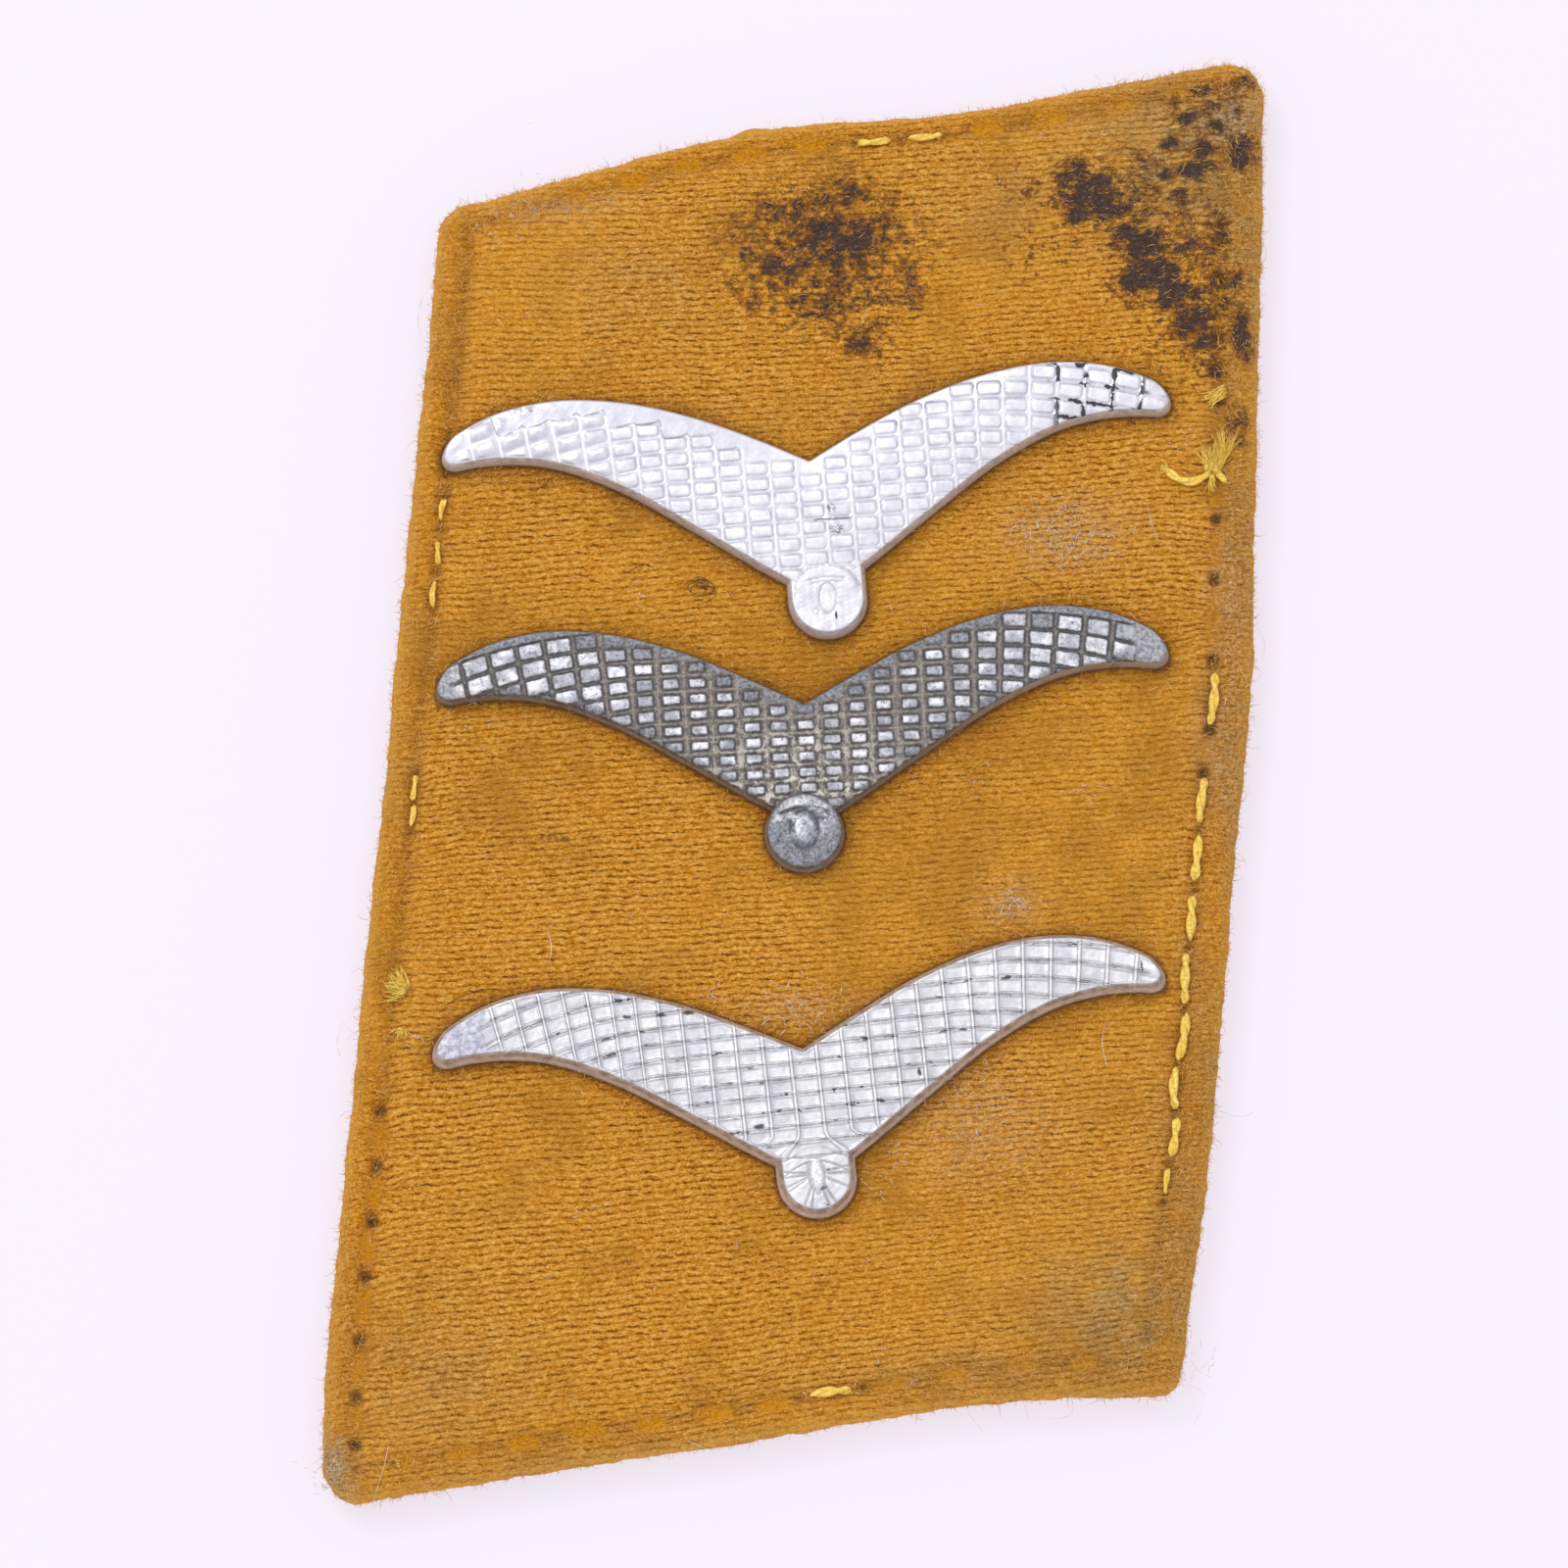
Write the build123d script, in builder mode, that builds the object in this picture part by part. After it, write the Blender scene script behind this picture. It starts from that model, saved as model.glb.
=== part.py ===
from build123d import *
import os
from math import atan2, degrees, radians, tan

# A slanted cloth collar tab with three cast metal gulls, each held by two prongs bent behind it.
# Millimetres. The tab lies on its hem at z = 0, its top edge towards +Y, its face towards +Z.

# The cloth tab
TAB_WIDE = 44.4          # overall, across the slanted shape
TAB_LONG = 58.9          # overall, bottom corner to top corner
CLOTH = 1.1              # one layer of felted wool
HEM_WIDTH = 7.0          # cloth turned in behind the rim
ROLL = 0.85              # rounding of the folded rim
CORNER_RADIUS = 1.5      # rounding of the broad corners, in plan
SHARP_RADIUS = 1.1       # rounding of the neat corner
BEND_RADIUS = 45.0       # gentle bends along the edges
MITRE_GAP = 0.3          # slit between the hem's two ends at each corner
STITCH_MARGIN = 1.35     # rim to the line of stitches
VALLEY_WIDTH = 0.9       # dip in the face that the thread pulls in
VALLEY_DEPTH = 0.3
VALLEY_SLOPE = 40.0      # degrees, its sides off the vertical

# The gulls
GULL_SPAN = 31.2         # tip to tip
WING_DEPTH = 8.8         # top of the wings to the wing root, in plan
GULL_THICK = 0.9         # underside to face
SIDE_SLOPE = 0.2         # how far the side walls lean in
SHOULDER = 0.18          # slope between walls and face, as wide as high
RIM = 0.4                # wall, shoulder and edge of the face, outside the pattern
RELIEF = 0.15            # height of the cast pattern
SMALLEST_CELL = 0.15     # a cell cut lower than this by the border is left out
COLUMN_PITCH = 1.12      # lattice cells across
ROW_PITCH = 0.69         # lattice cells up
ROW_LINE = 0.8           # lines along the wings, as a share of the lines across them
LATTICE_STRAIGHT = 7.5   # beyond this, the lattice turns with the wing
COLUMN_LEAN = 16.0       # degrees, at a wing's tip
ROW_FALL = 1.6           # how far the rows drop at a wing's tip
HEAD_RADIUS = 1.7
HEAD_STEP = 0.2          # head's edge above the wings' face
HEAD_DOME = 0.12
BOSS_WIDE = 0.75         # oval boss on the head
BOSS_LONG = 1.4
BOSS_RISE = 0.15
ARC_WIDTH = 0.2          # groove round the boss
ARC_RADIUS = 1.05
RAY_WIDTH = 0.16         # raised rays on the lower head
RAY_COUNT = 8
SEAT_GAP = 0.06          # cloth to a gull's underside

# The prongs behind each gull, and their slits in the cloth
PRONG_OUT = 6.5          # from the gull's middle
PRONG_WIDE = 1.6
PRONG_THICK = 0.4
PRONG_LEG = 4.0          # bent flat behind the cloth, towards the middle
PRONG_PLAY = 0.1         # slit round the prong, each side
LEG_GAP = 0.06           # cloth to the bent leg

TAB_THICK = 2 * CLOTH

# Turns of the tab's outline, from the bottom left corner clockwise, as shares of half the overall
# sizes.
OUTLINE = [
    {"across": -1.008, "up": -1.008, "radius": CORNER_RADIUS},
    {"across": -0.972, "up": -0.770, "radius": BEND_RADIUS / 2},
    {"across": -0.602, "up": 0.868, "radius": CORNER_RADIUS},
    {"across": -0.010, "up": 0.958, "radius": BEND_RADIUS},
    {"across": 0.410, "up": 0.958, "radius": BEND_RADIUS},
    {"across": 1.010, "up": 1.009, "radius": CORNER_RADIUS},
    {"across": 0.885, "up": 0.100, "radius": BEND_RADIUS},
    {"across": 0.727, "up": -0.600, "radius": BEND_RADIUS},
    {"across": 0.632, "up": -0.938, "radius": SHARP_RADIUS},
    {"across": 0.300, "up": -0.926, "radius": BEND_RADIUS},
]
CORNERS = [row for row in OUTLINE if row["radius"] <= CORNER_RADIUS]

# Cuts across half a wing, from the gull's middle to the tip: place as a share of half the span, and
# the two edges as shares of the wings' depth.
WING = [
    {"out": 0.000, "upper": -0.155, "lower": -0.760},
    {"out": 0.130, "upper": -0.035, "lower": -0.640},
    {"out": 0.320, "upper": 0.125, "lower": -0.440},
    {"out": 0.520, "upper": 0.235, "lower": -0.222},
    {"out": 0.710, "upper": 0.262, "lower": -0.085},
    {"out": 0.870, "upper": 0.200, "lower": -0.055},
    {"out": 0.960, "upper": 0.115, "lower": -0.065},
    {"out": 1.000, "upper": 0.030, "lower": -0.050},
]

# The gulls: place as shares of half the tab's sizes, and tilt in degrees. How high the wings arch,
# how deep they hang and how low the head sits, as shares of what the table of cuts gives and of the
# wings' depth. The width of the pattern's lines, raised or sunk.
GULLS = [
    {"name": "gull_upper", "across": 0.068, "up": 0.499, "tilt": 0.2, "arch": 0.90, "hang": 1.06,
     "head_across": 0.020, "head_up": -0.845, "line": 0.22, "raised": False},
    {"name": "gull_middle", "across": 0.024, "up": 0.143, "tilt": -1.3, "arch": 1.00, "hang": 0.98,
     "head_across": -0.018, "head_up": -0.785, "line": 0.36, "raised": False},
    {"name": "gull_lower", "across": -0.033, "up": -0.357, "tilt": 1.9, "arch": 1.00, "hang": 1.07,
     "head_across": 0.000, "head_up": -0.790, "line": 0.26, "raised": True},
]


def face_height(gull):
    """The wings' face above their underside: a sunk pattern starts from the height of its lines."""
    return GULL_THICK + (RELIEF if gull["raised"] else 0)


def seat(gull):
    """Where a gull lies on the cloth."""
    place = (gull["across"] * TAB_WIDE / 2, gull["up"] * TAB_LONG / 2, TAB_THICK + SEAT_GAP)
    return Location(place, (0, 0, gull["tilt"]))


def corner(row, inset=0):
    """A corner of the tab, moved in by inset both ways."""
    x = row["across"] * TAB_WIDE / 2
    y = row["up"] * TAB_LONG / 2
    return Vector(x - inset * (1 if x > 0 else -1), y - inset * (1 if y > 0 else -1))


def tab_outline():
    """The tab's outline in plan."""
    turns = [(row["across"] * TAB_WIDE / 2, row["up"] * TAB_LONG / 2) for row in OUTLINE]
    with BuildSketch() as sketch:
        with BuildLine():
            FilletPolyline(turns, radius=[row["radius"] for row in OUTLINE], close=True)
        make_face()
    return sketch.sketch


def edges_of_cut(gull, row):
    """How far up the two edges of a wing lie, at one of its cuts."""
    upper = row["upper"] * WING_DEPTH
    lower = row["lower"] * WING_DEPTH * gull["hang"]
    return (upper * gull["arch"] if upper > 0 else upper), lower


def edges_of_wing(gull, x):
    """How far up the two edges of a wing lie, at x, on straight lines between the cuts."""
    out = min(1, abs(x) / (GULL_SPAN / 2))
    for inner, outer in zip(WING, WING[1:]):
        if out <= outer["out"]:
            share = (out - inner["out"]) / (outer["out"] - inner["out"])
            pairs = zip(edges_of_cut(gull, inner), edges_of_cut(gull, outer))
            return [near + share * (far - near) for near, far in pairs]


def wings(gull):
    """Both wings with sloped walls, a shoulder and a flat face."""
    thick = face_height(gull)
    with BuildPart() as body:
        for row in WING:
            upper, lower = edges_of_cut(gull, row)
            lean = min(SIDE_SLOPE, (upper - lower) / 6)
            shoulder = min(SHOULDER, (upper - lower) / 8)
            over = lean + 2 * shoulder
            plane = Plane((row["out"] * GULL_SPAN / 2, 0, 0), x_dir=(0, 1, 0), z_dir=(1, 0, 0))
            with BuildSketch(plane):
                with BuildLine():
                    Polyline((upper, 0), (lower, 0), (lower + lean, thick - SHOULDER),
                             (lower + over, thick + SHOULDER), (upper - over, thick + SHOULDER),
                             (upper - lean, thick - SHOULDER), close=True)
                make_face()
        loft()
        mirror(about=Plane.YZ)
        split(bisect_by=Plane.XY.offset(thick), keep=Keep.BOTTOM)
    return body.part


def turned(x, y):
    """A point of the straight lattice, carried round with the wing towards its tip."""
    past = max(0, abs(x) - LATTICE_STRAIGHT) / (GULL_SPAN / 2 - LATTICE_STRAIGHT)
    lean = tan(radians(COLUMN_LEAN)) * past * y * (1 if x > 0 else -1)
    return (x + lean, y - ROW_FALL * past ** 2)


def cell(gull, x, y, half_wide, half_high):
    """One four-sided cell of the pattern, cut back to the plain border of the wing."""
    corners = []
    for i, j in ((-1, -1), (1, -1), (1, 1), (-1, 1)):
        across, up = turned(x + i * half_wide, y + j * half_high)
        upper, lower = edges_of_wing(gull, across)
        corners.append((across, max(lower + RIM, min(upper - RIM, up))))
    heights = (corners[3][1] - corners[0][1], corners[2][1] - corners[1][1])
    reach = max(abs(across) for across, up in corners)
    if min(heights) < SMALLEST_CELL or reach > GULL_SPAN / 2 - 2 * RIM:
        return None
    return make_face(Polyline(corners, close=True))


def lattice_cells(gull):
    """The cells between the pattern's lines, wherever a wing lies under them."""
    half_wide = (COLUMN_PITCH - gull["line"]) / 2
    half_high = (ROW_PITCH - gull["line"] * ROW_LINE) / 2
    columns = int(GULL_SPAN / 2 / COLUMN_PITCH)
    rows = int(WING_DEPTH * 1.2 / ROW_PITCH)
    places = [(column * COLUMN_PITCH, (row + 0.5) * ROW_PITCH)
              for column in range(-columns, columns + 1) for row in range(-rows, rows)]
    cells = [cell(gull, x, y, half_wide, half_high) for x, y in places]
    return [face for face in cells if face]


def head(gull):
    """The round head with its oval boss, and a groove or rays round it."""
    x = gull["head_across"] * GULL_SPAN / 2
    y = gull["head_up"] * WING_DEPTH
    edge = GULL_THICK + HEAD_STEP
    top = edge + HEAD_DOME
    face = HEAD_RADIUS - SIDE_SLOPE
    with BuildPart() as knob:
        with BuildSketch(Plane((x, y, 0), x_dir=(1, 0, 0), z_dir=(0, -1, 0))):
            with BuildLine():
                Polyline((0, top), (0, 0), (HEAD_RADIUS, 0), (face, edge))
                ThreePointArc((face, edge), (face / 2, edge + HEAD_DOME * 0.75), (0, top))
            make_face()
        revolve(axis=Axis((x, y, 0), (0, 0, 1)))
        if gull["raised"]:
            with BuildSketch(Plane.XY.offset(GULL_THICK)):
                with Locations((x, y)):
                    with PolarLocations(face / 2, RAY_COUNT, start_angle=180 / RAY_COUNT):
                        Rectangle(face, RAY_WIDTH)
            extrude(amount=HEAD_STEP + HEAD_DOME)
        else:
            with BuildSketch(Plane.XY.offset(edge - HEAD_STEP / 2)):
                with Locations((x, y)):
                    Circle(ARC_RADIUS + ARC_WIDTH / 2)
                    Circle(ARC_RADIUS - ARC_WIDTH / 2, mode=Mode.SUBTRACT)
            extrude(amount=HEAD_STEP + HEAD_DOME, mode=Mode.SUBTRACT)
        with BuildSketch(Plane.XY.offset(GULL_THICK)):
            with Locations((x, y)):
                Ellipse(BOSS_WIDE / 2, BOSS_LONG / 2)
        extrude(amount=HEAD_STEP + HEAD_DOME + BOSS_RISE, taper=15)
    return knob.part


def prong_place(gull, side):
    """Where a prong leaves the underside of a wing, half way across it."""
    upper, lower = edges_of_wing(gull, PRONG_OUT)
    return side * PRONG_OUT, (upper + lower) / 2


def prong(gull, side):
    """A flat prong that goes through the cloth and is bent flat behind it, towards the middle."""
    x, y = prong_place(gull, side)
    outer = x + side * PRONG_THICK / 2
    inner = x - side * PRONG_THICK / 2
    end = x - side * PRONG_LEG
    under = -SEAT_GAP - CLOTH - LEG_GAP
    low = under - PRONG_THICK
    root = GULL_THICK / 2
    with BuildPart() as strip:
        with BuildSketch(Plane.XZ.offset(-y)) as profile:
            with BuildLine():
                Polyline((inner, root), (outer, root), (outer, low), (end, low), (end, under),
                         (inner, under), close=True)
            make_face()
            fillet(profile.vertices().sort_by_distance((outer, low))[0], PRONG_THICK)
        extrude(amount=PRONG_WIDE / 2, both=True)
    return strip.part


outline = tab_outline()

# The cloth: face and hem with a rolled rim, the stitched valley, the hem's mitred corners behind,
# and a slit for each prong.
with BuildPart() as tab_cloth:
    with BuildSketch():
        add(outline)
    extrude(amount=TAB_THICK)
    flat_edges = tab_cloth.edges().group_by(Axis.Z)
    fillet(flat_edges[0] + flat_edges[-1], min(ROLL, 0.45 * TAB_THICK, 0.8 * SHARP_RADIUS))
    with BuildSketch(Plane.XY.offset(TAB_THICK)):
        offset(outline, amount=-STITCH_MARGIN + VALLEY_WIDTH / 2)
        offset(outline, amount=-STITCH_MARGIN - VALLEY_WIDTH / 2, mode=Mode.SUBTRACT)
    extrude(amount=-VALLEY_DEPTH, taper=VALLEY_SLOPE, mode=Mode.SUBTRACT)
    with BuildSketch():
        offset(outline, amount=-HEM_WIDTH)
    extrude(amount=CLOTH, mode=Mode.SUBTRACT)
    with BuildSketch():
        for row in CORNERS:
            start = corner(row, STITCH_MARGIN)
            run = corner(row, HEM_WIDTH * 1.3) - start
            middle = start + run / 2
            with Locations(Location((middle.X, middle.Y), degrees(atan2(run.Y, run.X)))):
                Rectangle(run.length, MITRE_GAP)
    extrude(amount=CLOTH / 2, mode=Mode.SUBTRACT)
    for gull in GULLS:
        for side in (-1, 1):
            with Locations(seat(gull) * Location(prong_place(gull, side))):
                Box(PRONG_THICK + 2 * PRONG_PLAY, PRONG_WIDE + 2 * PRONG_PLAY, 3 * CLOTH,
                    mode=Mode.SUBTRACT)
tab_cloth.part.label = "tab_cloth"

os.makedirs("parts", exist_ok=True)
export_step(tab_cloth.part, "parts/tab_cloth.step")

# Each gull is one casting: wings with pads or sunk cells, the head and the two prongs behind.
for row in GULLS:
    cells = lattice_cells(row)
    with BuildPart() as casting:
        add(wings(row))
        with BuildSketch(Plane.XY.offset(face_height(row))):
            add(cells)
        if row["raised"]:
            extrude(amount=-RELIEF, mode=Mode.SUBTRACT)
        else:
            extrude(amount=RELIEF)
        add(head(row))
        add(prong(row, -1))
        add(prong(row, 1))
    with BuildPart() as gull:
        with Locations(seat(row)):
            add(casting.part)
    gull.part.label = row["name"]
    export_step(gull.part, f"parts/{row['name']}.step")
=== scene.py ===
from math import atan2, cos, pi, radians, sin, tan

import bpy
import numpy as np
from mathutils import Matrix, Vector
from mathutils.bvhtree import BVHTree


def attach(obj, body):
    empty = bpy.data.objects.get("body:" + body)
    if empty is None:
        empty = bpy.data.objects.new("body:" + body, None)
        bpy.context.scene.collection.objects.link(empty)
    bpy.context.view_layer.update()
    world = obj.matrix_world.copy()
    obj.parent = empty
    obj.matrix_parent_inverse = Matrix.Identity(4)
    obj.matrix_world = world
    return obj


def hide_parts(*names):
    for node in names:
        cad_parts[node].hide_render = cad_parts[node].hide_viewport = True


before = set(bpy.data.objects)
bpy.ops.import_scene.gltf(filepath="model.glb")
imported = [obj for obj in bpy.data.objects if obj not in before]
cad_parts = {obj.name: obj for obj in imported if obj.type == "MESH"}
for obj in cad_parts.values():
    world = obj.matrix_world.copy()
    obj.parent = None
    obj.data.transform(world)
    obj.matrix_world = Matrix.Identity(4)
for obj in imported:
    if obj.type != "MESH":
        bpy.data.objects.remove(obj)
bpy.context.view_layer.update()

# The cloth tab. Golden-yellow wool satin, cut larger than the tab, folded to the back as a hem all
# round and sewn down near the rim by hand, so that the thread pulls a valley into its face.
# Sizes are in millimetres in this file, and become metres where a mesh is made.
MM = 0.001
METRE = 1000.0
TAB_WIDE = 44.4
TAB_LONG = 58.9
CLOTH = 1.1
TAB_THICK = 2 * CLOTH
ROLL = 0.95
GRID_ACROSS, GRID_UP = 190, 262
FACE_ACROSS, FACE_UP = 36.0, 57.0
RIM_LENGTH = 195.0
FADE_FROM, FADE_OVER = 3, 6

# Turns of the outline from the bottom left corner clockwise, as shares of half the sizes, each with
# the radius that rounds it. The four small radii are the corners. Two turns fade out far in.
CORNER_UNDER = 2.0
TURNS = [
    {"across": -1.008, "up": -1.008, "radius": 1.5},
    {"across": -0.972, "up": -0.770, "radius": 22.0, "fades": True},
    {"across": -0.602, "up": 0.868, "radius": 1.5},
    {"across": -0.010, "up": 0.958, "radius": 45.0},
    {"across": 0.410, "up": 0.958, "radius": 45.0},
    {"across": 1.010, "up": 1.009, "radius": 1.5},
    {"across": 0.885, "up": 0.100, "radius": 45.0},
    {"across": 0.727, "up": -0.600, "radius": 45.0},
    {"across": 0.632, "up": -0.938, "radius": 1.1},
    {"across": 0.300, "up": -0.926, "radius": 45.0, "fades": True},
]


def unit(v):
    """Vectors brought to length 1."""
    return v / np.maximum(np.linalg.norm(v, axis=-1, keepdims=True), 1e-12)


def inset_turns(inset, turns):
    """The outline's turns with every side moved in, and the radii that are left."""
    points = np.array([(t["across"] * TAB_WIDE / 2, t["up"] * TAB_LONG / 2) for t in turns])
    along = unit(np.roll(points, -1, 0) - points)
    inward = np.stack([along[:, 1], -along[:, 0]], 1)
    before, normal = np.roll(along, 1, 0), np.roll(inward, 1, 0)
    moved = []
    for i in range(len(points)):
        a = points[i] + normal[i] * inset
        b = points[i] + inward[i] * inset
        cross = before[i][0] * along[i][1] - before[i][1] * along[i][0]
        gap = b - a
        moved.append(a + before[i] * (gap[0] * along[i][1] - gap[1] * along[i][0]) / cross)
    radii = [max(t["radius"] - inset, 0.12) for t in turns]
    return np.array(moved), radii


def outline_sides(inset, turns=TURNS):
    """The rounded outline, moved in, as four polylines from corner to corner, clockwise."""
    points, radii = inset_turns(inset, turns)
    sides, current = [], []
    count = len(points)
    for i in range(count + 1):
        k = i % count
        back, ahead = unit(points[k - 1] - points[k]), unit(points[(k + 1) % count] - points[k])
        half = np.arccos(np.clip(back @ ahead, -1, 1)) / 2
        centre = points[k] + unit(back + ahead) * radii[k] / sin(half)
        start = points[k] + back * radii[k] / tan(half) - centre
        end = points[k] + ahead * radii[k] / tan(half) - centre
        sweep = atan2(start[0] * end[1] - start[1] * end[0], start @ end)
        turn = np.linspace(0, sweep, 25)
        arc = np.stack([start[0] * np.cos(turn) - start[1] * np.sin(turn),
                        start[0] * np.sin(turn) + start[1] * np.cos(turn)], 1) + centre
        if turns[k]["radius"] < CORNER_UNDER:
            if i > 0:
                sides.append(np.array(current + list(arc[:13])))
            current = list(arc[12:])
        else:
            current += list(arc)
    return sides


def walk(line, shares):
    """Points at shares of a polyline's length."""
    run = np.concatenate([[0], np.cumsum(np.linalg.norm(np.diff(line, axis=0), axis=1))])
    return np.stack([np.interp(shares * run[-1], run, line[:, k]) for k in range(2)], 1)


def shares(count, length, edge=3.5, fine=0.6):
    """Shares from 0 to 1 that lie closer together near both ends."""
    at = np.linspace(0, 1, count + 1)
    pull = (1 - fine) * np.sin(2 * pi * at) / (2 * pi)
    return at - pull * min(1, 8 * edge / length)


ACROSS, UP = shares(GRID_ACROSS, FACE_ACROSS), shares(GRID_UP, FACE_UP)


def ring(inset):
    """The rim of the cloth grid, moved in: one point for each of the grid's outer points. Far in,
    the two bends that lie next to a corner fade out."""
    def sides(inset, turns):
        left, top, right, bottom = outline_sides(inset, turns)
        return walk(left, UP), walk(top, ACROSS), walk(right[::-1], UP), walk(bottom[::-1], ACROSS)
    if inset <= FADE_FROM:
        return sides(inset, TURNS)
    few = [t for t in TURNS if "fades" not in t]
    fade = 1 - (inset - FADE_FROM) / FADE_OVER
    return [far + (full - part) * fade for far, full, part in
            zip(sides(inset, few), sides(FADE_FROM, TURNS), sides(FADE_FROM, few))]


def around(left, top, right, bottom):
    """The rim's points in one closed run, anticlockwise from the bottom left corner."""
    return np.concatenate([bottom[:-1], right[:-1], top[:0:-1], left[:0:-1]])


def wander(u, seed, longest, waves=6):
    """A smooth uneven line from -1 to 1, the same each time."""
    r = np.random.default_rng(seed)
    total = 0
    for k in range(waves):
        total = total + np.sin(2 * pi * u / longest * 1.7 ** k + r.random() * 7) * 0.75 ** k
    return total / 2.5


def patch(x, y, seed, longest):
    """A smooth uneven surface from -1 to 1, the same each time."""
    r = np.random.default_rng(seed)
    total = 0
    for k in range(7):
        turn = r.random() * pi
        total = total + np.sin((x * cos(turn) + y * sin(turn)) * 2 * pi / longest * 1.35 ** k
                               + r.random() * 7) * 0.85 ** k
    return total / 3


def to_line(points, line, closed=False):
    """How far points lie from a polyline."""
    starts = line if closed else line[:-1]
    ends = np.roll(line, -1, 0) if closed else line[1:]
    nearest = np.full(len(points), np.inf)
    for start, step in zip(starts, ends - starts):
        share = np.clip((points - start) @ step / max(step @ step, 1e-12), 0, 1)
        nearest = np.minimum(nearest, np.linalg.norm(points - start - share[:, None] * step, axis=1))
    return nearest


def make_piece(name, points, faces):
    """A smooth piece from points in millimetres and faces."""
    mesh = bpy.data.meshes.new(name)
    mesh.from_pydata((points * MM).tolist(), [], faces)
    mesh.polygons.foreach_set("use_smooth", [True] * len(mesh.polygons))
    thing = bpy.data.objects.new(name, mesh)
    bpy.context.scene.collection.objects.link(thing)
    return thing


def frame_of(grid):
    """A grid's outer points in one closed run."""
    return np.concatenate([grid[0, :-1], grid[:-1, -1], grid[-1, :0:-1], grid[:0:-1, 0]])


def shell(name, grid, rings):
    """A closed mesh from a grid of points, rings of points round its rim and a flat last face."""
    rows, columns = grid.shape[:2]
    number = np.arange(rows * columns).reshape(rows, columns)
    quads = np.stack([number[:-1, :-1], number[:-1, 1:], number[1:, 1:], number[1:, :-1]], -1)
    faces = [quads.reshape(-1, 4)]
    last = frame_of(number)
    points = [grid.reshape(-1, 3)]
    for row in rings:
        fresh = np.arange(len(row)) + sum(len(p) for p in points)
        faces.append(np.stack([np.roll(last, -1), last, fresh, np.roll(fresh, -1)], 1))
        points.append(row)
        last = fresh
    return make_piece(name, np.concatenate(points), np.concatenate(faces).tolist() + [last[::-1].tolist()])


def give(thing, name, values):
    """One number for each point of a mesh, which its material reads by name."""
    layer = thing.data.attributes.new(name, "FLOAT", "POINT")
    layer.data.foreach_set("value", np.asarray(values, np.float32))


def give_map(thing, name, across, up):
    """A flat map over a mesh, which its material's pattern follows."""
    corner = np.zeros(len(thing.data.loops), np.int32)
    thing.data.loops.foreach_get("vertex_index", corner)
    layer = thing.data.uv_layers.new(name=name)
    flat = np.stack([np.asarray(across)[corner], np.asarray(up)[corner]], 1)
    layer.data.foreach_set("uv", flat.astype(np.float32).ravel())


def places(thing):
    """A mesh's points, in millimetres."""
    points = np.zeros(len(thing.data.vertices) * 3, np.float32)
    thing.data.vertices.foreach_get("co", points)
    return points.reshape(-1, 3).astype(float) * METRE


def step_between(low, high, x):
    """A smooth step from 0 at low to 1 at high."""
    t = np.clip((x - low) / (high - low), 0, 1)
    return t * t * (3 - 2 * t)


# The photograph: its middle, its pixels to a millimetre of the face, which it shows a little
# foreshortened, how far it is turned, and the place on the tab that lies in its middle.
PHOTO_MIDDLE = 800
PIXELS_ACROSS, PIXELS_UP = 24.0, 23.6
PHOTO_TURN = 0.076
PHOTO_AIM = (-0.59, -0.30)


def from_photo(across, down):
    """A place on the face, in millimetres, from where the photograph shows it, in its pixels."""
    x, y = (across - PHOTO_MIDDLE) / PIXELS_ACROSS, (PHOTO_MIDDLE - down) / PIXELS_UP
    return np.array([x + PHOTO_TURN * y + PHOTO_AIM[0], y - PHOTO_TURN * x + PHOTO_AIM[1]])


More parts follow.
